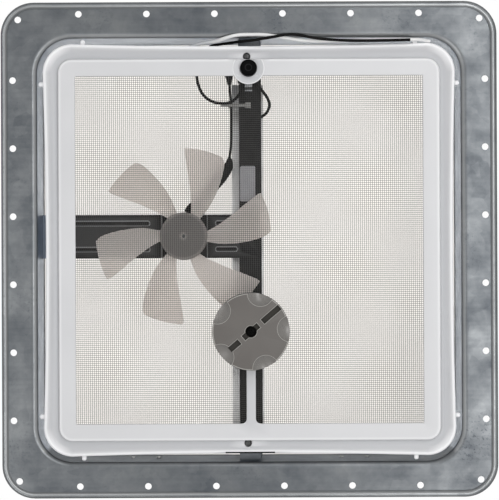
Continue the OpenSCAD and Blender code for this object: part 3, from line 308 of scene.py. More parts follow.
LABEL_FILM = grained("bare label film", (0.38, 0.38, 0.4, 1), (0.46, 0.46, 0.48, 1), 80, 1800, 0.38, 0.5, 0.08)
WINDING = grained("varnished winding", (0.2, 0.075, 0.03, 1), (0.42, 0.19, 0.08, 1), 300, 2200, 0.3, 0.45, 0.4)
WHITE_LEAD = grained("white lead insulation", grey(0.8), grey(0.9), 90, 1800, 0.38, 0.5, 0.1)
BLACK_LEAD = grained("black lead insulation", grey(0.004), grey(0.008), 90, 1800, 0.4, 0.52, 0.12,
                     Specular_IOR_Level=0.06)
BLACK_TAPE = grained("black tape and sleeving", grey(0.004), grey(0.012), 220, 900, 0.42, 0.62, 0.4, 0.0006,
                     Specular_IOR_Level=0.06)

# Making and placing pieces


def place_piece(obj, body, stands_for):
    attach(obj, body)
    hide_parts(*stands_for)
    return obj


# Leads: the centre lines of the solids that they stand for, except the sleeve's start, which meets its wire

LEAD_ROUNDING, LEAD_STEPS = 5, 8


def lead(name, thick, points, material):
    """A round lead on one smooth line through the points."""
    line = bpy.data.curves.new(name, "CURVE")
    line.dimensions = "3D"
    line.bevel_depth = thick / 2 * MM
    line.bevel_resolution = LEAD_ROUNDING
    line.resolution_u = LEAD_STEPS
    line.use_fill_caps = True
    line.materials.append(material)
    spline = line.splines.new("BEZIER")
    spline.bezier_points.add(len(points) - 1)
    for knot, point in zip(spline.bezier_points, points):
        knot.co = at(*point)
        knot.handle_left_type = knot.handle_right_type = "AUTO"
    return show(name, line)


WHITE_D, BLACK_D, SWITCH_LEAD_D, MOTOR_WIRE_D, SLEEVE_D, SPLICE_D = 2.9, 2.5, 2.5, 2.2, 9.0, 8.0
WHITE_ROUTE = [
    (-21.8, -160.5, 31), (-32, -164, 29), (-42, -166.5, 26), (-49.5, -170, 22.5), (-50.5, -173, 19.8),
    (-46, -174.8, 18.4), (-40, -176.6, 17), (-34, -177, 12), (-28, -177.2, 6.5), (-22, -178.3, 1.2),
    (-16, -179.8, -1.6), (-10, -181, -2.4),
    (3, -181.5, -2.4), (13, -181.3, -2.4), (22, -180.2, -2.3), (34, -178.2, -1.4), (48, -176.6, 0.8),
    (72, -176.6, 3), (95, -177.2, 3), (118, -177.6, 3), (136, -177.6, 3), (146, -177.4, 4.5), (154, -176.6, 8)]
BLACK_ROUTE = [
    (-21.8, -157, 28), (-28, -162, 26.5), (-33, -167.5, 23.5), (-34.8, -172, 20.2), (-31.5, -174.6, 18.1),
    (-26, -175.7, 17.5), (-19, -176.5, 16.6), (-12, -176.8, 12), (-4, -177, 6), (6, -177.3, -0.5),
    (15, -178.2, -4.4), (22, -179.2, -5.6),
    (30, -180.6, -5.7), (40, -181, -4.4), (54, -178.8, -2), (72, -177, -0.6), (95, -176.2, -0.4),
    (118, -176.4, -0.4), (136.5, -176.8, -0.2)]
LEFT_ROUTE = [
    (-46, -160, 24), (-44.8, -150, 24), (-43.2, -141.5, 24), (-38.8, -133, 24), (-32.2, -128, 24.2),
    (-24.4, -126.2, 24.6), (-16.5, -127, 25.2), (-10.5, -131, 26), (-7, -137, 26.6), (-6, -143.4, 27)]
RIGHT_ROUTE = [
    (6, -142.9, 27), (8.8, -140.4, 27.4), (12.7, -135.8, 29), (16, -131.2, 31), (17.8, -126.2, 34),
    (16.6, -121.2, 39.4), (13.4, -117.6, 44.4), (8, -115, 47.4)]
MOTOR_ROUTE = [
    (-16.6, -142.6, 34.6), (-16.2, -136, 36.6), (-15.8, -130, 38), (-15.5, -122, 38.8), (-15.5, -104, 39.2),
    (-15.7, -92, 40.4), (-16.4, -84.5, 41.5), (-17.35, -80, 42.25)]
SLEEVE_ROUTE = [
    (-17.2, -80.5, 42.1), (-17.1, -78.2, 42.5), (-18.5, -72, 43.2), (-24.5, -64, 44.6), (-36, -51.1, 47.5),
    (-45, -40.5, 49.5), (-51.4, -34.3, 50), (-53.7, -31.5, 50)]
SPLICE_ROUTE = [(-17.6, -160, 30), (-17.2, -152, 31.5), (-16.9, -147.5, 32.8), (-16.7, -143, 34.4)]

LEADS = [
    ("white_supply_line", "white_supply_lead", WHITE_D, WHITE_ROUTE, WHITE_LEAD, "white_lead", 0.250, "bare"),
    ("black_supply_line", "black_supply_lead", BLACK_D, BLACK_ROUTE, BLACK_LEAD, "black_lead", 0.203, "bare"),
    ("left_switch_line", "left_switch_lead", SWITCH_LEAD_D, LEFT_ROUTE, BLACK_LEAD, "black_lead", 0.074, "object"),
    ("right_switch_line", "right_switch_lead", SWITCH_LEAD_D, RIGHT_ROUTE, BLACK_LEAD, "black_lead", 0.043, "object"),
    ("motor_line", "motor_wire", MOTOR_WIRE_D, MOTOR_ROUTE, BLACK_LEAD, "black_lead", 0.064, "object"),
]
for name, node, thick, route, material, slot, length, far_end in LEADS:
    line = place_piece(lead(name, thick, route, material), "base", [node])


def swell(obj, radii):
    """Gives each point of a lead's line its own share of the thickness."""
    for knot, share in zip(obj.data.splines[0].bezier_points, radii):
        knot.radius = share
    return obj


SLEEVE_SWELL = (0.27, 0.56, 0.96, 1.22, 1.2, 1.2, 1.15, 0.9)
SPLICE_SWELL = (1.1, 1.0, 0.66, 0.42)
sleeve = swell(lead("motor_sleeving", SLEEVE_D, SLEEVE_ROUTE, BLACK_TAPE), SLEEVE_SWELL)
place_piece(sleeve, "base", ["motor_sleeve"])
splice = swell(lead("taped_splice", SPLICE_D, SPLICE_ROUTE, BLACK_TAPE), SPLICE_SWELL)
place_piece(splice, "base", ["splice_tape"])

# Mesh building

CORNER_STEPS = 14
TURN_STEPS = 56
SHARP_ANGLE = 32
MERGE = 1e-6


def new_shape():
    """An empty mesh whose points carry a tone: below 0 painted shade, above 0 painted highlight."""
    bm = bmesh.new()
    bm.verts.layers.float.new("tone")
    return bm


Ring = namedtuple("Ring", "half_x half_y radius z tone")


def square(half, radius, z, tone=0.0):
    """A square ring with round corners."""
    return Ring(half, half, radius, z, tone)


def squares(stations):
    return [square(*station) for station in stations]


def first_ring(bm, ring, centre, steps):
    """A flat rectangle with round corners."""
    place = Matrix.Translation(at(*centre, ring.z)) @ Matrix.Diagonal((ring.half_x * MM, ring.half_y * MM, 1, 1))
    corners = bmesh.ops.create_grid(bm, x_segments=1, y_segments=1, size=1.0, matrix=place)["verts"]
    verts = bmesh.ops.bevel(bm, geom=corners, offset=ring.radius * MM, offset_type="OFFSET", affect="VERTICES",
                            segments=steps, profile=0.5, material=-1)["verts"]
    return verts[0].link_faces[0]


def move_ring(verts, centre, old, new):
    """Moves the points of one ring onto the next, each at its own angle round its corner."""
    for vert in verts:
        for axis, near, far in ((0, old.half_x, new.half_x), (1, old.half_y, new.half_y)):
            away = vert.co[axis] / MM - centre[axis]
            turn = (abs(away) - near + old.radius) / old.radius
            reach = far - new.radius + turn * new.radius
            vert.co[axis] = (centre[axis] + math.copysign(reach, away)) * MM
        vert.co.z = new.z * MM


def ring_skin(bm, rings, centre=(0, 0), closed=False, steps=CORNER_STEPS):
    """Skins a row of rings, each drawn out of the one before; both ends are capped unless the row is closed."""
    layer = bm.verts.layers.float["tone"]
    face = first_ring(bm, rings[0], centre, steps)
    edges = list(face.edges)
    for vert in face.verts:
        vert[layer] = rings[0].tone
    if closed:
        bmesh.ops.delete(bm, geom=[face], context="FACES_ONLY")
    for old, new in zip(rings, rings[1:] + rings[:1] if closed else rings[1:]):
        made = bmesh.ops.extrude_edge_only(bm, edges=edges)["geom"]
        fresh = {part for part in made if isinstance(part, bmesh.types.BMVert)}
        edges = [part for part in made if isinstance(part, bmesh.types.BMEdge) and fresh.issuperset(part.verts)]
        move_ring(fresh, centre, old, new)
        for vert in fresh:
            vert[layer] = new.tone
    if not closed:
        bmesh.ops.contextual_create(bm, geom=edges)
    return bm


def spun(bm, outline, centre, steps=TURN_STEPS):
    """A turned shape: the outline of (radius, z) points goes once round an upright axis at centre."""
    verts = [bm.verts.new(at(centre[0] + r, centre[1], z)) for r, z in outline]
    edges = [bm.edges.new(pair) for pair in zip(verts, verts[1:])]
    bmesh.ops.spin(bm, geom=verts + edges, cent=at(*centre, 0), axis=(0, 0, 1), dvec=(0, 0, 0),
                   angle=2 * math.pi, steps=steps, use_merge=True, use_duplicate=False)
    return bm


def block(bm, low, high, turn=None):
    """A box between two corners, placed by the matrix turn where one is given."""
    low, high = at(*low), at(*high)
    place = Matrix.Translation((low + high) / 2) @ Matrix.Diagonal((*(high - low), 1))
    bmesh.ops.create_cube(bm, size=1.0, matrix=(turn or Matrix()) @ place)
    return bm


def rod(bm, centre, radius, z0, z1, steps=32):
    """A plain round bar along Z."""
    place = Matrix.Translation(at(*centre, (z0 + z1) / 2))
    bmesh.ops.create_cone(bm, cap_ends=True, segments=steps, radius1=radius * MM, radius2=radius * MM,
                          depth=abs(z1 - z0) * MM, matrix=place)
    return bm


def tone_where(bm, tone, chosen):
    """Gives the points whose place is chosen one tone of painted light, which darkens below 0 and brightens above 0.
    """
    layer = bm.verts.layers.float["tone"]
    for vert in bm.verts:
        if chosen(vert.co):
            vert[layer] = tone
    return bm


def shade(bm, tone):
    """Gives a whole shape one tone of painted light."""
    return tone_where(bm, tone, lambda co: True)


def mark(bm, centre, radii, tone):
    """Gives the points between two distances from an upright axis one tone of painted light."""
    axis = at(*centre, 0).xy
    return tone_where(bm, tone, lambda co: radii[0] * MM < (co.xy - axis).length < radii[1] * MM)


def tone_box(bm, low, high, tone):
    """Gives the points between two corners one tone of painted light."""
    low, high = at(*low), at(*high)
    return tone_where(bm, tone, lambda co: all(a < c < b for a, c, b in zip(low, co, high)))


def close_up(bm):
    """Merges what meets and turns every face outwards."""
    bmesh.ops.remove_doubles(bm, verts=bm.verts, dist=MERGE)
    bmesh.ops.recalc_face_normals(bm, faces=bm.faces)
    return bm


def loose_object(bm, name="tool"):
    mesh = bpy.data.meshes.new(name)
    close_up(bm).to_mesh(mesh)
    bm.free()
    return show(name, mesh)


def combine(bm, steps):
    """Joins, cuts or intersects bm with other shapes, one after another, and returns the one closed shape."""
    base = loose_object(bm)
    tools = [(loose_object(tool), how) for tool, how in steps]
    for tool, how in tools:
        step = base.modifiers.new(how, "BOOLEAN")
        step.operation, step.solver, step.object = how, "MANIFOLD", tool
    done = base.evaluated_get(bpy.context.evaluated_depsgraph_get())
    shape = bmesh.new()
    shape.from_mesh(done.to_mesh())
    done.to_mesh_clear()
    for obj in [base] + [tool for tool, how in tools]:
        bpy.data.meshes.remove(obj.data)
    return shape


def carve(bm, add=(), cut=()):
    """Joins shapes to bm, then cuts others out of it."""
    return combine(bm, [(tool, "UNION") for tool in add] + [(tool, "DIFFERENCE") for tool in cut])


def both_inside(bm, other):
    """The volume that two shapes share."""
    return combine(bm, [(other, "INTERSECT")])


def piece(bm, name, material, body, stands_for, sharp=SHARP_ANGLE):
    """Makes the shape a finished piece of the part that stands for the named nodes."""
    obj = loose_object(bm, name)
    obj.data.materials.append(material)
    obj.data.shade_smooth()
    obj.data.set_sharp_from_angle(angle=math.radians(sharp))
    return place_piece(obj, body, stands_for)


# Galvanised base: flange with rolled edge, bend, neck and turned-out rim, as half size, corner radius, height, tone;
# the tone is a painted highlight on the rolled edge, the bend and the rim, and painted shade on the neck wall below
# the rim.

HOLE_ROW, CORNER_HOLE, HOLE_R, HOLE_PITCH, HOLES_A_SIDE = 199.6, 195.0, 2.8, 57.5, 6

BASE_STATIONS = [
    (209.5, 28.0, 0.0, 0.2), (209.2, 27.7, 0.5, 0.2), (208.6, 27.1, 1.25, 0.15), (207.7, 26.2, 1.75, 0.1),
    (206.7, 25.2, 1.85, 0.35), (205.9, 24.4, 1.55, 0.6), (205.2, 23.7, 0.95, 0.6), (204.6, 23.1, 0.3, 0.2),
    (204.1, 22.6, 0.0, 0.0), (203.4, 22.0, 0.0, 0.0), (185.4, 34.2, 0.0, 0.0), (184.3, 33.6, 0.0, 0.0),
    (183.5, 33.2, 0.04, 0.02), (182.8, 32.8, 0.15, 0.06), (182.1, 32.2, 0.4, 0.18), (181.2, 31.5, 0.9, 0.32),
    (180.4, 30.8, 1.6, 0.3), (179.85, 30.35, 2.5, 0.22), (179.5, 30.0, 3.9, 0.05), (179.5, 30.0, 6.0, 0.0),
    (179.5, 30.0, 30.0, 0.0), (179.5, 30.0, 39.0, 0.0), (179.5, 30.0, 43.0, -0.6), (179.5, 30.0, 50.5, -0.75),
    (179.8, 30.3, 52.2, -0.75), (181.0, 31.5, 53.2, 0.0), (186.0, 36.5, 53.2, 0.0), (186.8, 37.3, 53.3, 0.2),
    (186.8, 37.3, 53.9, 0.3), (186.0, 36.5, 54.0, 0.0), (181.0, 31.5, 54.0, 0.0), (180.3, 30.9, 53.6, 0.1),
]
BASE_BACK = [
    (180.3, 30.8, 50.5, 0.1), (180.3, 30.8, 6.0, 0.1), (180.4, 30.9, 4.0, 0.0), (181.0, 31.4, 2.6, 0.0),
    (182.0, 32.3, 1.5, 0.0), (183.3, 33.2, 0.9, 0.0), (184.4, 33.6, 0.8, 0.0), (203.3, 21.8, 0.8, 0.0),
    (204.0, 22.5, 1.1, 0.0), (204.6, 23.1, 1.8, 0.2), (205.6, 24.1, 2.35, 0.4), (206.7, 25.2, 2.6, 0.5),
    (207.9, 26.4, 2.45, 0.4), (209.0, 27.5, 1.7, 0.2), (209.5, 28.0, 0.8, 0.0),
]
# Painted light on the neck: shade on the crank side's wall, highlight on the lead side's wall, a weaker bend highlight
# on the crank side, and the steep faces that take the painted sheen.
SHADED_SIDE, BRIGHT_SIDE, SHADED_BEND, DARKEST = -0.6, 0.42, 0.2, -0.85
BEND_LOW, WALL_LOW, WALL_HIGH, WALL_OUT = 0.02, 3.8, 51, 184
NECK_FACES, STEEP = (3.5, 52), 0.4


def paint_neck_light(bm):
    """Paints shade onto the neck wall on the crank side, weakens the painted highlight of its bend there, and paints a
    highlight onto the wall on the lead side.
    """
    layer = bm.verts.layers.float["tone"]
    for vert in bm.verts:
        out, height = abs(vert.co.y) / MM, vert.co.z / MM
        if out < abs(vert.co.x) / MM or out > WALL_OUT:
            continue
        if WALL_LOW < height < WALL_HIGH:
            vert[layer] = max(DARKEST, vert[layer] + (SHADED_SIDE if vert.co.y > 0 else BRIGHT_SIDE))
        elif BEND_LOW < height < WALL_LOW and vert.co.y > 0:
            vert[layer] *= SHADED_BEND
    return bm


def roof_base():
    bm = new_shape()
    ring_skin(bm, squares(BASE_STATIONS + BASE_BACK), closed=True)
    holes = new_shape()
    places = [(x, y) for x in (-CORNER_HOLE, CORNER_HOLE) for y in (-CORNER_HOLE, CORNER_HOLE)]
    for i in range(HOLES_A_SIDE):
        along = (i - (HOLES_A_SIDE - 1) / 2) * HOLE_PITCH
        for row in (-HOLE_ROW, HOLE_ROW):
            places += [(along, row), (row, along)]
    for spot in places:
        rod(holes, spot, HOLE_R, -2, 4)
    obj = piece(carve(paint_neck_light(bm), cut=[holes]), "galvanised_base", GALVANISED, "base", ["roof_base"])
    # The steep faces of the neck wall take the lighter, bluer copy of the galvanised finish, whose extra lightness is
    # a painted reflection.
    obj.data.materials.append(NECK_STEEL_PAINTED_SHEEN)
    for face in obj.data.polygons:
        height = face.center.z / MM
        face.material_index = int(abs(face.normal.z) < STEEP and NECK_FACES[0] < height < NECK_FACES[1])


roof_base()

# Screen frame: a moulded ring with lip, cove, flat band, switch boss, crank rib and snap nubs

# The last column is the tone: painted highlight on the lip, the step's edge and the window's edge, painted shade in
# the cove.
FRAME_STATIONS = [
    (147.5, 0.7, 5.6, 0.0), (147.5, 0.7, 4.35, 0.0), (147.75, 0.8, 4.08, 0.1), (148.1, 0.9, 4.0, 0.0),
    (158.6, 8.1, 4.0, 0.0), (159.6, 9.1, 4.0, 0.15), (160.4, 9.9, 4.0, 0.5), (161.0, 10.5, 4.06, 0.75),
    (161.45, 10.95, 4.4, 0.8), (161.7, 11.2, 5.0, 0.75), (162.0, 11.5, 6.9, 0.5), (162.3, 11.8, 7.9, -0.1),
    (162.9, 12.4, 8.5, -0.5), (163.8, 13.3, 8.72, -0.6), (165.6, 15.1, 8.6, -0.58), (167.4, 16.9, 8.1, -0.5),
    (169.2, 18.7, 7.25, -0.36), (170.8, 20.3, 6.25, -0.16), (171.9, 21.4, 5.45, 0.1), (172.5, 22.0, 5.1, 0.35),
    (173.1, 22.6, 4.95, 0.75), (174.0, 23.5, 5.0, 1.0), (174.7, 24.2, 5.35, 1.0), (175.1, 24.6, 6.1, 0.9),
    (175.2, 24.7, 7.2, 0.0), (175.2, 24.7, 15.7, 0.0), (174.9, 24.4, 16.0, 0.0), (173.7, 23.2, 16.0, 0.0),
    (173.5, 23.0, 15.7, 0.0), (173.5, 23.0, 10.4, 0.0), (172.9, 22.4, 10.1, 0.0), (161.0, 10.5, 10.1, 0.0),
    (160.5, 10.0, 9.7, 0.0), (160.5, 10.0, 6.0, 0.0), (160.1, 9.6, 5.6, 0.0),
]
SWITCH, CRANK = (-0.2, -154.0), (1.0, 68.5)
FRAME_SCREWS = [(-1.7, -164.3), (-1.7, 164.3)]
BOW, BOW_CUTS, BOW_START, BOW_BLEND = 2.3, 15, 0.163, 0.009
LONG_EDGE = 0.15
NUB_ALONG, NUB_OUT = 141, 175.6
RIB_X, RIB_Y, RIB_HALF_X, RIB_HALF_Y, GUSSET_R = 1.0, 110.0, 3.9, 41.5, 4.0
FRAME_CENTRE, CORNER_CREASE, CREASE_BLEND, CORNER_PAINTED_HIGHLIGHT, SLOPE_TOP = 150.5, 17.5, 2, 0.7, 8
POST_OUT_R, POCKET_R, SCREW_BORE_R, CRANK_BORE_R, SWITCH_BORE_R = 4.1, 3.5, 1.95, 3.6, 7.5
DISH = [(0, 4.55), (8.2, 4.55), (8.8, 4.5), (10.2, 4.3), (11.6, 4.0)]
# Painted shade on the switch boss and the crank rib; RIB_BOX holds the band round the rib, whose points are painted
# shade as well.
BOSS_PAINTED_SHADE, RIB_PAINTED_SHADE = -0.3, -0.3
RIB_BOX = (-4, 75, 3), (6, 148.2, 5)
PRY_SLOT = (-21, 171.4, 3), (21, 174.5, 7.0)


def bow_sides(bm):
    """Draws the outer wall in between the corners, as a large thin moulding shrinks."""
    bmesh.ops.subdivide_edges(bm, edges=[e for e in bm.edges if e.calc_length() > LONG_EDGE], cuts=BOW_CUTS,
                              use_grid_fill=True)
    for vert in bm.verts:
        out, along = sorted((abs(vert.co.x), abs(vert.co.y)), reverse=True)
        middle = max(0.0, 1 - (along / (FRAME_CENTRE * MM)) ** 2)
        pull = BOW * middle * min(1.0, max(0.0, (out - BOW_START) / BOW_BLEND)) * MM
        if abs(vert.co.x) > abs(vert.co.y):
            vert.co.x -= math.copysign(pull, vert.co.x)
        else:
            vert.co.y -= math.copysign(pull, vert.co.y)
    return bm


def paint_corner_highlight(bm):
    """Paints a highlight onto the slope below the lip round the four corners, where it faces the light."""
    layer = bm.verts.layers.float["tone"]
    for vert in bm.verts:
        away = [abs(part) / MM - FRAME_CENTRE for part in vert.co.xy]
        reach = math.hypot(*away)
        if min(away) > 0 and vert.co.z < SLOPE_TOP * MM and reach > CORNER_CREASE:
            share = min(1.0, 2 * min(away) / reach) * min(1.0, (reach - CORNER_CREASE) / CREASE_BLEND)
            vert[layer] = min(1.0, vert[layer] + CORNER_PAINTED_HIGHLIGHT * share)
    return bm


def loft_nub(bm, along, turn):
    """One rounded snap nub on the outer wall, painted highlight all over."""
    start = len(bm.verts)
    ring_skin(bm, [Ring(2.0 - inset, 3.0 - inset, 1.85 - inset, z, 1.0)
                   for inset, z in ((0.3, 9.0), (0.0, 8.6), (0.0, 6.4), (0.3, 5.75), (0.8, 5.5))],
              centre=(along, NUB_OUT))
    bm.verts.ensure_lookup_table()
    bmesh.ops.transform(bm, matrix=turn, verts=bm.verts[start:])


def screen_frame():
    bm = new_shape()
    ring_skin(bm, squares(FRAME_STATIONS), closed=True)
    paint_corner_highlight(bow_sides(close_up(bm)))
    nubs = new_shape()
    for quarter in range(4):
        turn = Matrix.Rotation(quarter * math.pi / 2, 4, "Z")
        for along in (-NUB_ALONG, NUB_ALONG):
            loft_nub(nubs, along, turn)
    # The switch boss is painted shade, with a painted highlight ring round its rim; its hollow is painted shade as
    # well.
    dish = spun(new_shape(), [
        (0, 5.56), (13.2, 5.56), (13.7, 5.2), (13.7, 4.3), (13.5, 3.95), (13.1, 3.8), (12.6, 3.82),
        *reversed(DISH)], SWITCH)
    mark(shade(dish, BOSS_PAINTED_SHADE), SWITCH, (12.9, 14), 0.6)
    boss = both_inside(dish, block(new_shape(), (-20, -161.3, 0), (20, -130, 9)))
    hollow = spun(new_shape(), DISH + [(12.0, 3.9), (12.0, 3.0), (0, 3.0)], SWITCH)
    hollow = both_inside(shade(hollow, BOSS_PAINTED_SHADE), block(new_shape(), (-20, -161.1, 0), (20, -130, 9)))
    # The crank rib is painted shade.
    rib = new_shape()
    ring_skin(rib, [Ring(RIB_HALF_X - inset, RIB_HALF_Y - inset, 0.6, z, RIB_PAINTED_SHADE)
                    for inset, z in ((0.0, 5.56), (0.0, 4.4), (0.15, 4.12), (0.45, 4.04))], centre=(RIB_X, RIB_Y))
    side_out = RIB_HALF_X + GUSSET_R
    gusset = block(new_shape(), (RIB_X - side_out, 147.9 - GUSSET_R, 4.07), (RIB_X + side_out, 149.5, 5.53))
    rounds = new_shape()
    for side in (-1, 1):
        rod(rounds, (RIB_X + side * side_out, 147.45 - GUSSET_R), GUSSET_R, 3, 7)
    gusset = carve(gusset, cut=[rounds])
    collar = spun(new_shape(), [(0, 5.6), (8.8, 5.6), (9.0, 5.4), (9.0, 4.4), (8.7, 4.1), (8.2, 4.0), (0, 4.0)], CRANK)
    posts, pockets, bores = new_shape(), new_shape(), new_shape()
    for spot in FRAME_SCREWS:
        rod(posts, spot, POST_OUT_R, 9.0, 16.0)
        rod(pockets, spot, POCKET_R, 5.62, 8.5)
        rod(bores, spot, SCREW_BORE_R, 7.0, 17.0)
    rod(bores, CRANK, CRANK_BORE_R, 0, 20)
    rod(bores, SWITCH, SWITCH_BORE_R, 0, 20)
    block(bores, *PRY_SLOT)
    shape = carve(bm, add=[nubs, posts, rib, gusset, collar], cut=[hollow, pockets])
    # Paints shade onto the points of the band round the crank rib.
    shape = carve(tone_box(shape, *RIB_BOX, RIB_PAINTED_SHADE), add=[boss], cut=[bores])
    obj = piece(shape, "moulded_screen_frame", WHITE_MOULDING, "base", ["screen_frame"],
                sharp=40)
    # Painted shadow: the pry slot's floor and inner wall take the black moulding in place of the shade deep in the
    # slot.
    obj.data.materials.append(BLACK_MOULDING)
    low, high = at(*PRY_SLOT[0]), at(*PRY_SLOT[1])
    for face in obj.data.polygons:
        spot = face.center
        inside = abs(spot.x) < high.x + 1e-5 and low.y - 1e-5 < spot.y < high.y and spot.z > low.z + 0.003
        face.material_index = int(inside and (abs(face.normal.z) > 0.99 or spot.y < low.y + 1e-4))


screen_frame()

# Insect screen: two layers of fine strands, trimmed round the crank shaft and the switch

CELLS = 172
NET_HALF, WINDOW_HALF = 149.5, 147.5
STRAND_W = 0.26
STRAND_Z = (5.62, 5.9, 6.18)
SWITCH_CLEAR_R = 11.7
NET_HOLES = [(*CRANK, CRANK_BORE_R), (*SWITCH, SWITCH_CLEAR_R)]


def strand_runs(offset, across):
    """The stretches of a strand that lie clear of the holes; across is the axis that it is set off along."""
    runs = [(-NET_HALF, NET_HALF)]
    for hole in NET_HOLES:
        away = abs(offset - hole[across])
        if away < hole[2]:
            reach = math.sqrt(hole[2] ** 2 - away ** 2)
            low, high = hole[1 - across] - reach, hole[1 - across] + reach
            runs = [part for a, b in runs for part in ((a, min(b, low)), (max(a, high), b)) if part[1] > part[0]]
    return runs


def insect_screen():
    bm = new_shape()
    pitch = 2 * WINDOW_HALF / CELLS
    for i in range(CELLS + 1):
        offset = -WINDOW_HALF + i * pitch
        low, high = offset - STRAND_W / 2, offset + STRAND_W / 2
        for a, b in strand_runs(offset, 0):
            block(bm, (low, a, STRAND_Z[0]), (high, b, STRAND_Z[1]))
        for a, b in strand_runs(offset, 1):
            block(bm, (a, low, STRAND_Z[1]), (b, high, STRAND_Z[2]))
    piece(bm, "woven_insect_screen", STRAND, "base", ["insect_screen"])


insect_screen()

# Crank knob: a thick disc with finger hollows, a broken grip groove and a sunk screw

KNOB_FACE, KNOB_BACK = -16.0, -4.0
HOLLOWS, FIRST_HOLLOW = 5, -4
HOLLOW_R, HOLLOW_DEPTH, HOLLOW_OUT = 14.4, 5.0, 33.0
GROOVE_TURN = math.radians(-40.5)
GROOVES = [(-23.5, -12.7), (-8.3, 8.3), (12.7, 31.6)]
GROOVE_W, GROOVE_DEPTH, CHAMFER = 4.9, 3.5, 0.55
HOLLOW_MOUTH = 10.7
WELL_R, WELL_DEPTH, SHAFT_BORE_R, SCREW_HOLE_R = 4.9, 4.0, 3.2, 1.7
HOLLOWS_FROM = 18


def grip_cut(bm, low, high, turn):
    """A straight groove with a chamfered mouth, set along X and then turned."""
    start = len(bm.verts)
    half_x, half_y, middle = (high - low) / 2, GROOVE_W / 2, ((low + high) / 2, 0)
    ring_skin(bm, [Ring(half_x + more, half_y + more, 0.2, KNOB_FACE + depth, 0.0)
                   for more, depth in ((CHAMFER + 1, -1), (0, CHAMFER), (0, GROOVE_DEPTH))], centre=middle, steps=2)
    bm.verts.ensure_lookup_table()
    bmesh.ops.transform(bm, matrix=turn, verts=bm.verts[start:])


def mouth(bm, spot, radius, depth=0.0, steps=64):
    """A chamfer round a round hole in the knob's face, with the hole below it where a depth is given."""
    outline = [(0, -1), (radius + CHAMFER + 1, -1), (radius, CHAMFER)]
    if depth:
        outline.append((radius, depth))
    spun(bm, [(r, KNOB_FACE + z) for r, z in outline + [(0, outline[-1][1])]], spot, steps)


def crank_knob():
    bm = spun(new_shape(), [
        (0, KNOB_FACE), (31.4, KNOB_FACE), (32.1, -15.7), (32.5, -14.7), (32.5, -5.2), (32.2, -4.4),
        (31.5, KNOB_BACK), (9.5, KNOB_BACK), (8.4, -3.6), (8.0, -2.6), (8.0, 2.2), (7.6, 2.7), (0, 2.7)], CRANK,
        steps=96)
    cuts = []
    for i in range(HOLLOWS):
        angle = math.radians(FIRST_HOLLOW - 360 / HOLLOWS * i)
        spot = (CRANK[0] + HOLLOW_OUT * math.cos(angle), CRANK[1] + HOLLOW_OUT * math.sin(angle))
        ball = new_shape()
        bmesh.ops.create_uvsphere(ball, u_segments=64, v_segments=40, radius=HOLLOW_R * MM,
                                  matrix=Matrix.Translation(at(*spot, KNOB_FACE + HOLLOW_DEPTH - HOLLOW_R)))
        rim = new_shape()
        mouth(rim, spot, HOLLOW_MOUTH)
        cuts += [ball, rim]
    turn = Matrix.Translation(at(*CRANK, 0)) @ Matrix.Rotation(GROOVE_TURN, 4, "Z")
    for start, end in GROOVES:
        slot = new_shape()
        grip_cut(slot, start, end, turn)
        cuts.append(slot)
    well, bore = new_shape(), new_shape()
    mouth(well, CRANK, WELL_R, WELL_DEPTH)
    rod(bore, CRANK, SHAFT_BORE_R, -9.5, 3.7)
    rod(bore, CRANK, SCREW_HOLE_R, -13.0, -9.0, steps=24)
    obj = piece(carve(bm, cut=cuts + [well, bore]), "finger_grip_knob", KNOB_MOULDING, "crank", ["crank_knob"],
                sharp=25)
    for material in (KNOB_EDGE_HIGHLIGHT, KNOB_GROOVE_SHADE, KNOB_HOLLOW_SHEEN):
        obj.data.materials.append(material)
    # Painted light on the knob: highlight on the chamfers, shade on the flat floors of the grooves and the well, sheen
    # in the finger hollows.
    for face in obj.data.polygons:
        depth, flat = face.center.z / MM - KNOB_FACE, abs(face.normal.z)
        slanted = 0.02 < depth < CHAMFER - 0.02 and 0.3 < flat < 0.95
        deep = GROOVE_DEPTH - 0.1 < depth < WELL_DEPTH + 0.1 and flat > 0.9999
        out = (face.center.xy - at(*CRANK, 0).xy).length / MM
        scooped = out > HOLLOWS_FROM and CHAMFER < depth < HOLLOW_DEPTH + 0.1 and 0.5 < flat < 0.9999
        face.material_index = 1 if slanted else 2 if deep else 3 if scooped else 0


crank_knob()

# Fan: cupped hub with six twisted, cambered blades

FAN = (-56.4, -11.9)
TIP_R, ROOT_R = 76.2, 18.4
TIP_FROM, TIP_TRIM, TIP_ROUND = 0.9, 0.07, 0.022
BLADE_Z, BLADE_T, BLADES = 24.9, 1.5, 6
# Painted shade on the fan's hub: most on the hub, less on its rim, least on its eye.
HUB_PAINTED_SHADE, HUB_RIM_PAINTED_SHADE, HUB_EYE_PAINTED_SHADE = -0.66, -0.42, -0.1
PITCH, LEAN, CAMBER = math.radians(20), 15, 1.6
BLADE_FRONT = [(0, 19), (0.1, 15.5), (0.34, 8.6), (0.67, 2.8), (1, 0)]
BLADE_BACK = [(0, 44.5), (0.08, 43.6), (0.28, 41.6), (0.56, 36.4), (0.9, 30.4), (1, 27.8)]


def along_edge(points, share):
    """The angle of a blade's edge at a share of its span."""
    for (a, low), (b, high) in zip(points, points[1:]):
        if share <= b:
            return low + (high - low) * (share - a) / (b - a)
    return points[-1][1]


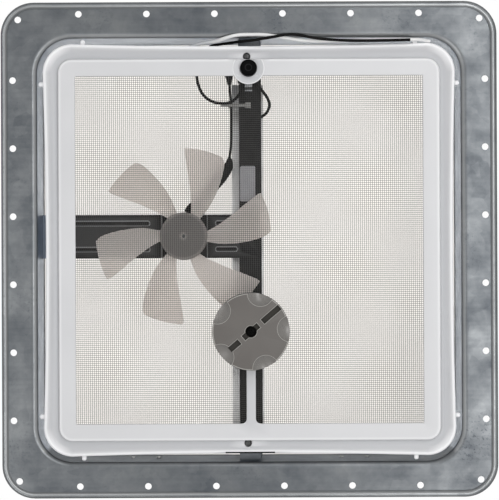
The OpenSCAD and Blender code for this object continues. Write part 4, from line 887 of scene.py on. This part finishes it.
def fan_blade(bm):
    """One blade as a curved sheet: angles run from straight up in the picture towards its right."""
    sheet = bmesh.ops.create_grid(bm, x_segments=22, y_segments=14, size=0.5)["verts"]
    for vert in sheet:
        share, over = vert.co.x + 0.5, vert.co.y + 0.5
        trim = 1 - TIP_TRIM * max(0.0, (share - TIP_FROM) / (1 - TIP_FROM)) ** 3
        over = 0.5 + (over - 0.5) * trim
        front, back = along_edge(BLADE_FRONT, share), along_edge(BLADE_BACK, share)
        angle = math.radians(front + (back - front) * over)
        radius = ROOT_R + (TIP_R - ROOT_R) * share * (1 - TIP_ROUND * over * share ** 3)
        side = radius * math.sin(angle - math.radians(LEAN))
        rise = -side * math.tan(PITCH) + CAMBER * (1 - (2 * over - 1) ** 2) - CAMBER / 2
        vert.co = at(radius * math.sin(angle), -radius * math.cos(angle), BLADE_Z + rise)
    return bm


def fan_rotor():
    blades = new_shape()
    fan_blade(blades)
    bmesh.ops.solidify(blades, geom=blades.faces[:], thickness=BLADE_T * MM)
    bmesh.ops.recalc_face_normals(blades, faces=blades.faces)
    bmesh.ops.translate(blades, verts=blades.verts, vec=at(0, 0, -BLADE_T / 2))
    bmesh.ops.spin(blades, geom=blades.verts[:] + blades.edges[:] + blades.faces[:], cent=(0, 0, 0), axis=(0, 0, 1),
                   dvec=(0, 0, 0), angle=2 * math.pi * (BLADES - 1) / BLADES, steps=BLADES - 1, use_duplicate=True)
    bmesh.ops.translate(blades, verts=blades.verts, vec=at(*FAN, 0))
    # The hub is painted shade all over, less of it on the rim and the eye.
    hub = shade(spun(new_shape(), [
        (0, 16.35), (1.6, 16.35), (1.9, 16.05), (4.0, 16.0), (17.6, 16.15), (19.0, 16.5), (19.9, 17.3), (20.3, 18.4),
        (20.4, 19.6), (20.4, 31.6), (20.0, 32.0), (18.8, 32.0), (18.4, 31.6), (18.4, 19.4), (17.8, 18.2), (4.9, 18.0),
        (4.5, 18.4), (4.5, 31.7), (4.2, 32.0), (0, 32.0)], FAN, steps=72), HUB_PAINTED_SHADE)
    mark(hub, FAN, (18.5, 21), HUB_RIM_PAINTED_SHADE)
    mark(hub, FAN, (0.5, 2.2), HUB_EYE_PAINTED_SHADE)
    bore = rod(new_shape(), FAN, 1.5, 12, 36)
    piece(carve(hub, add=[blades], cut=[bore]), "six_blade_fan", FAN_MOULDING, "fan", ["fan_rotor"],
          sharp=45)


fan_rotor()

# Dome lid: skirt, ledge, sloped wall and a slightly crowned top, with three posts for the track

LID_CENTRE = 144.0
LID_OUTER = [
    (196.0, 51.5), (196.0, 59.6), (195.8, 60.5), (195.2, 61.1), (194.3, 61.2), (179.6, 61.2), (178.4, 61.35),
    (177.4, 61.9), (176.6, 62.6), (156.4, 82.7), (155.0, 83.9), (153.4, 84.9), (151.4, 85.5), (149.0, 85.8)]
LID_INNER = [
    (149.0, 83.5), (151.4, 83.2), (153.0, 82.4), (175.2, 60.2), (176.4, 59.3), (178.0, 59.0), (192.9, 59.0),
    (193.5, 58.7), (193.8, 58.2), (193.8, 51.5)]
CROWN_OUTER = [(110.0, 30.0, 86.9), (60.0, 30.0, 87.7), (15.0, 12.0, 88.0)]
TRACK_X, HINGE_Y, HINGE_Z = -1.4, 200.0, 48.0
TRACK_ANGLE = math.atan2(24.0, 300.0805)
TRACK_OUT = 6.5
POST_R = 7.0


def dome_lid():
    bm = new_shape()
    crown = squares(reversed(CROWN_OUTER))
    ring_skin(bm, crown + [square(half, half - LID_CENTRE, z) for half, z in LID_OUTER[::-1] + LID_INNER[::-1]])
    front, rear = (HINGE_Y + 146.0) / math.cos(TRACK_ANGLE), (HINGE_Y - 155.5) / math.cos(TRACK_ANGLE)
    posts = new_shape()
    for reach in (front - 14, (front + rear) / 2, rear + 14):
        foot = (TRACK_X, HINGE_Y - reach * math.cos(TRACK_ANGLE))
        spun(posts, [(0, 50.0), (POST_R, 50.0), (POST_R, 80.5), (POST_R + 0.6, 82.2), (POST_R + 2.0, 83.6),
                     (POST_R + 2.0, 84.5), (0, 84.5)], foot, steps=40)
    below = new_shape()
    hinge = Matrix.Translation(at(0, HINGE_Y, HINGE_Z)) @ Matrix.Rotation(-TRACK_ANGLE, 4, "X")
    block(below, (-60, -front - 40, -80), (60, 40, TRACK_OUT), hinge)
    piece(carve(bm, add=[carve(posts, cut=[below])]), "dome_shell", DOME_MOULDING, "lid", ["dome_lid"],
          sharp=40)


dome_lid()

# Foam seal under the lid's ledge

SEAL_STATIONS = [
    (181.4, 55.0), (181.9, 54.45), (182.8, 54.3), (185.6, 54.3), (186.5, 54.45), (187.0, 55.0), (187.2, 56.0),
    (187.2, 58.7), (186.9, 59.0), (181.5, 59.0), (181.2, 58.7), (181.2, 56.0)]


def lid_seal():
    bm = new_shape()
    ring_skin(bm, [square(half, half - LID_CENTRE, z) for half, z in SEAL_STATIONS], closed=True)
    obj = piece(bm, "foam_seal", FOAM, "lid", ["lid_seal"], sharp=60)


lid_seal()

# Fan bracket: bent strip with pressed beads

BRACKET_Y = (-30.7, 6.9)
BRACKET_X = (-179.4, 9.9)
BRACKET_Z, BRACKET_T = 37.0, 1.5
SEAT_X, SEAT_Z = (-76.4, -36.4), 40.0
BEADS = [((-171.4, -88.4), -23.2), ((-171.4, -88.4), -0.6), ((-27.4, -12.4), -23.2), ((-27.4, -12.4), -0.6)]


def fan_bracket():
    bm = new_shape()
    left, right = BRACKET_X
    upper = BRACKET_Z + BRACKET_T
    # The third value of each outline point is its tone: painted highlight lines along the two bends of the seat.
    path = [(left, 50.0, 0), (left, BRACKET_Z, 0), (SEAT_X[0] - 0.5, BRACKET_Z, 0), (SEAT_X[0] + 0.4, BRACKET_Z, 0.8),
            (SEAT_X[0] + 1.2, SEAT_Z, 0), (SEAT_X[1] - 1.2, SEAT_Z, 0), (SEAT_X[1] - 0.4, BRACKET_Z, 0.8),
            (SEAT_X[1] + 0.5, BRACKET_Z, 0), (right, BRACKET_Z, 0)]
    back = [(right, upper, 0), (SEAT_X[1] - 1.0, upper, 0), (SEAT_X[1] - 1.8, SEAT_Z + BRACKET_T, 0),
            (SEAT_X[0] + 1.8, SEAT_Z + BRACKET_T, 0), (SEAT_X[0] + 1.0, upper, 0),
            (left + BRACKET_T, upper, 0), (left + BRACKET_T, 50.0, 0)]
    layer = bm.verts.layers.float["tone"]
    outline = []
    for x, z, tone in path + back:
        outline.append(bm.verts.new(at(x, BRACKET_Y[0], z)))
        outline[-1][layer] = tone
    side = bm.faces.new(outline)
    raised = bmesh.ops.extrude_face_region(bm, geom=[side])["geom"]
    bmesh.ops.translate(bm, verts=[g for g in raised if isinstance(g, bmesh.types.BMVert)],
                        vec=at(0, BRACKET_Y[1] - BRACKET_Y[0], 0))
    beads = new_shape()
    for (start, end), y in BEADS:
        middle, half = ((start + end) / 2, y), (end - start) / 2
        # Each bead carries a painted highlight round its edge.
        ring_skin(beads, [Ring(half + r, r, r - 0.05, z, tone)
                          for r, z, tone in ((2.6, 37.6, 0.0), (2.6, 37.0, 0.1), (2.3, 36.85, 0.9), (1.9, 36.5, 0.5),
                                             (1.4, 36.2, 0.1), (0.9, 36.1, 0.0))], centre=middle, steps=8)
    cuts = new_shape()
    rod(cuts, FAN, 5.05, 38, 44, steps=40)
    for x in (-10.5, 10.5):
        rod(cuts, (FAN[0] + x, FAN[1]), 1.55, 38, 44)
    for y in (-25.6, 1.8):
        rod(cuts, (3.0, y), 1.95, 35, 40)
    rod(cuts, (-5.3, 0.2), 1.3, 35, 40)
    bar = new_shape()
    bmesh.ops.create_cone(bar, cap_ends=True, segments=24, radius1=1.95 * MM, radius2=1.95 * MM, depth=6 * MM,
                          matrix=Matrix.Translation(at(left + 1, FAN[1], 44.0)) @ Matrix.Rotation(math.pi / 2, 4, "Y"))
    piece(carve(bm, add=[beads], cut=[cuts, bar]), "beaded_fan_bracket", BLACK_PAINT, "base", ["fan_bracket"],
          sharp=30)


fan_bracket()

# Screws with a cross recess where they show

RECESS_ARM, RECESS_W, RECESS_TURN, RECESS_DEPTH = 0.62, 0.2, 0.4, 0.55


def pan_head(bm_heads, bm_cuts, centre, radius, seat, height):
    """A domed head whose seat is at z = seat and whose face looks down, with the cross that is cut in it."""
    face = seat - height
    spun(bm_heads, [(0, face), (radius * 0.45, face + 0.06 * height), (radius * 0.78, face + 0.28 * height),
                    (radius * 0.95, face + 0.6 * height), (radius, face + 0.9 * height), (radius, seat), (0, seat)],
         centre, steps=28)
    for turn in (RECESS_TURN, RECESS_TURN + math.pi / 2):
        spot = Matrix.Translation(at(*centre, 0)) @ Matrix.Rotation(turn, 4, "Z")
        block(bm_cuts, (-radius * RECESS_ARM, -radius * RECESS_W / 2, face - 1),
              (radius * RECESS_ARM, radius * RECESS_W / 2, face + RECESS_DEPTH * height), spot)


def cross_screws(name, node, body, material, spots, head, shank):
    """Cross-head screws at the spots: head is radius, seat and height, shank is radius and both ends."""
    heads, cuts, shanks = new_shape(), new_shape(), new_shape()
    for spot in spots:
        pan_head(heads, cuts, spot, *head)
        rod(shanks, spot, *shank, steps=20)
    piece(carve(carve(heads, cut=[cuts]), add=[shanks]), name, material, body, [node])


cross_screws("cross_head_frame_screws", "frame_screws", "base", DARK_STEEL, FRAME_SCREWS,
             (3.2, 8.5, 2.0), (1.85, 8.3, 21.3))
cross_screws("black_knob_screw", "knob_screw", "crank", BLACK_MOULDING, [CRANK],
             (4.4, -12.0, 3.0), (1.55, -12.2, -2.5))

# Push button with a finger ring


def switch_button():
    bm = spun(new_shape(), [
        (0, -0.35), (2.2, -0.3), (2.8, -0.55), (3.2, -0.85), (3.9, -0.95), (5.6, -0.75), (6.5, -0.25), (6.9, 0.5),
        (7.0, 1.5), (7.0, 5.7), (6.7, 6.0), (2.6, 6.0), (2.6, 15.6), (0, 15.6)], SWITCH, steps=48)
    # A painted highlight ring round the centre of the button's face.
    mark(bm, SWITCH, (2.7, 2.9), 1.0)
    piece(bm, "push_button", BLACK_MOULDING, "button", ["switch_button"], sharp=40)


switch_button()

# Finishes of the nodes that keep their own shape

KEPT = {
    GALVANISED: ["screen_tabs"],
    TRACK_STEEL_PAINTED_LIGHT: ["lid_track"],
    ZINC: ["bar_screws", "housing_screws", "crank_shaft", "lift_arm", "arm_pivot_pin", "roller_pin", "track_rivets",
           "hinge_leaves", "leaf_rivets", "hinge_brackets", "hinge_rivets", "hinge_pins", "motor_can", "motor_screws",
           "switch_nut"],
    BAR_PAINT: ["operator_bar"],
    BLACK_PAINT: ["switch_rivet", "bracket_screws"],
    HALF_PAINTED: ["switch_bracket"],
    BLACK_MOULDING: ["motor_cap", "switch_body"],
    GREY_MOULDING: ["gear_housing", "worm"],
    NYLON: ["arm_rollers"],
    TIE: ["cable_tie"],
    DARK_STEEL: ["motor_shaft"],
    LABEL_FILM: ["rating_label"],
    WINDING: ["motor_armature"],
}
for material, names in KEPT.items():
    for name in names:
        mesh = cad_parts[name].data
        mesh.materials.clear()
        mesh.materials.append(material)

# Studio: pale floor that the camera below sees through, soft lamps and a white surround

FLOOR_Z, FLOOR_SIZE, AMBIENT = -0.0165, 4.0, 0.3


def floor():
    bm = bmesh.new()
    bmesh.ops.create_grid(bm, x_segments=1, y_segments=1, size=FLOOR_SIZE,
                          matrix=Matrix.Translation((0, 0, FLOOR_Z)))
    mesh = bpy.data.meshes.new("floor")
    bm.to_mesh(mesh)
    bm.free()
    obj = show("floor", mesh)
    paint = bpy.data.materials.new("pale floor")
    paint.use_nodes = True
    tree = paint.node_tree
    surface = tree.nodes["Principled BSDF"]
    surface.inputs["Base Color"].default_value = (0.82, 0.82, 0.82, 1)
    surface.inputs["Roughness"].default_value = 0.9
    clear = new_node(tree, "ShaderNodeBsdfTransparent", {})[0]
    behind = new_node(tree, "ShaderNodeNewGeometry", {})["Backfacing"]
    seen = new_node(tree, "ShaderNodeMixShader", {0: behind, 1: surface.outputs[0], 2: clear})[0]
    fill(tree, tree.nodes["Material Output"].inputs["Surface"], seen)
    mesh.materials.append(paint)
    obj.visible_diffuse = obj.visible_glossy = obj.visible_transmission = obj.visible_shadow = False


floor()

world = bpy.data.worlds.new("white surround")
scene.world = world
world.use_nodes = True
sky = world.node_tree
path = new_node(sky, "ShaderNodeLightPath", {})
seen = math_node(sky, "MAXIMUM", path["Is Camera Ray"], path["Is Glossy Ray"])
seen = math_node(sky, "MAXIMUM", seen, path["Is Transmission Ray"])
backdrop = sky.nodes["Background"]
backdrop.inputs["Color"].default_value = (1, 1, 1, 1)
fill(sky, backdrop.inputs["Strength"], span_node(sky, seen, 0.0, 1.0, AMBIENT, 1.0))

# Lamps: name, place, level side and leaning side, power

LAMPS = [
    ("key", (0.35, -1.25, -1.6), (0.9, 0.9), 6.6),
    ("fill", (-0.9, 0.9, -1.6), (1.2, 1.2), 6.0),
    ("side_panel", (0.46, 0.0, -1.3), (1.2, 0.3), 7.6),
    ("left_panel", (-0.46, 0.0, -1.3), (0.95, 0.3), 1.6),
    ("dome_light", (-0.4, -0.5, 2.4), (3.0, 3.0), 12.0),
]
for name, spot, sides, power in LAMPS:
    lamp = bpy.data.lights.new(name, "AREA")
    lamp.shape = "RECTANGLE"
    lamp.size, lamp.size_y = sides
    lamp.energy = power
    obj = show(name, lamp)
    obj.location = spot
    obj.rotation_euler = (-Vector(spot)).to_track_quat("-Z", "Y").to_euler()
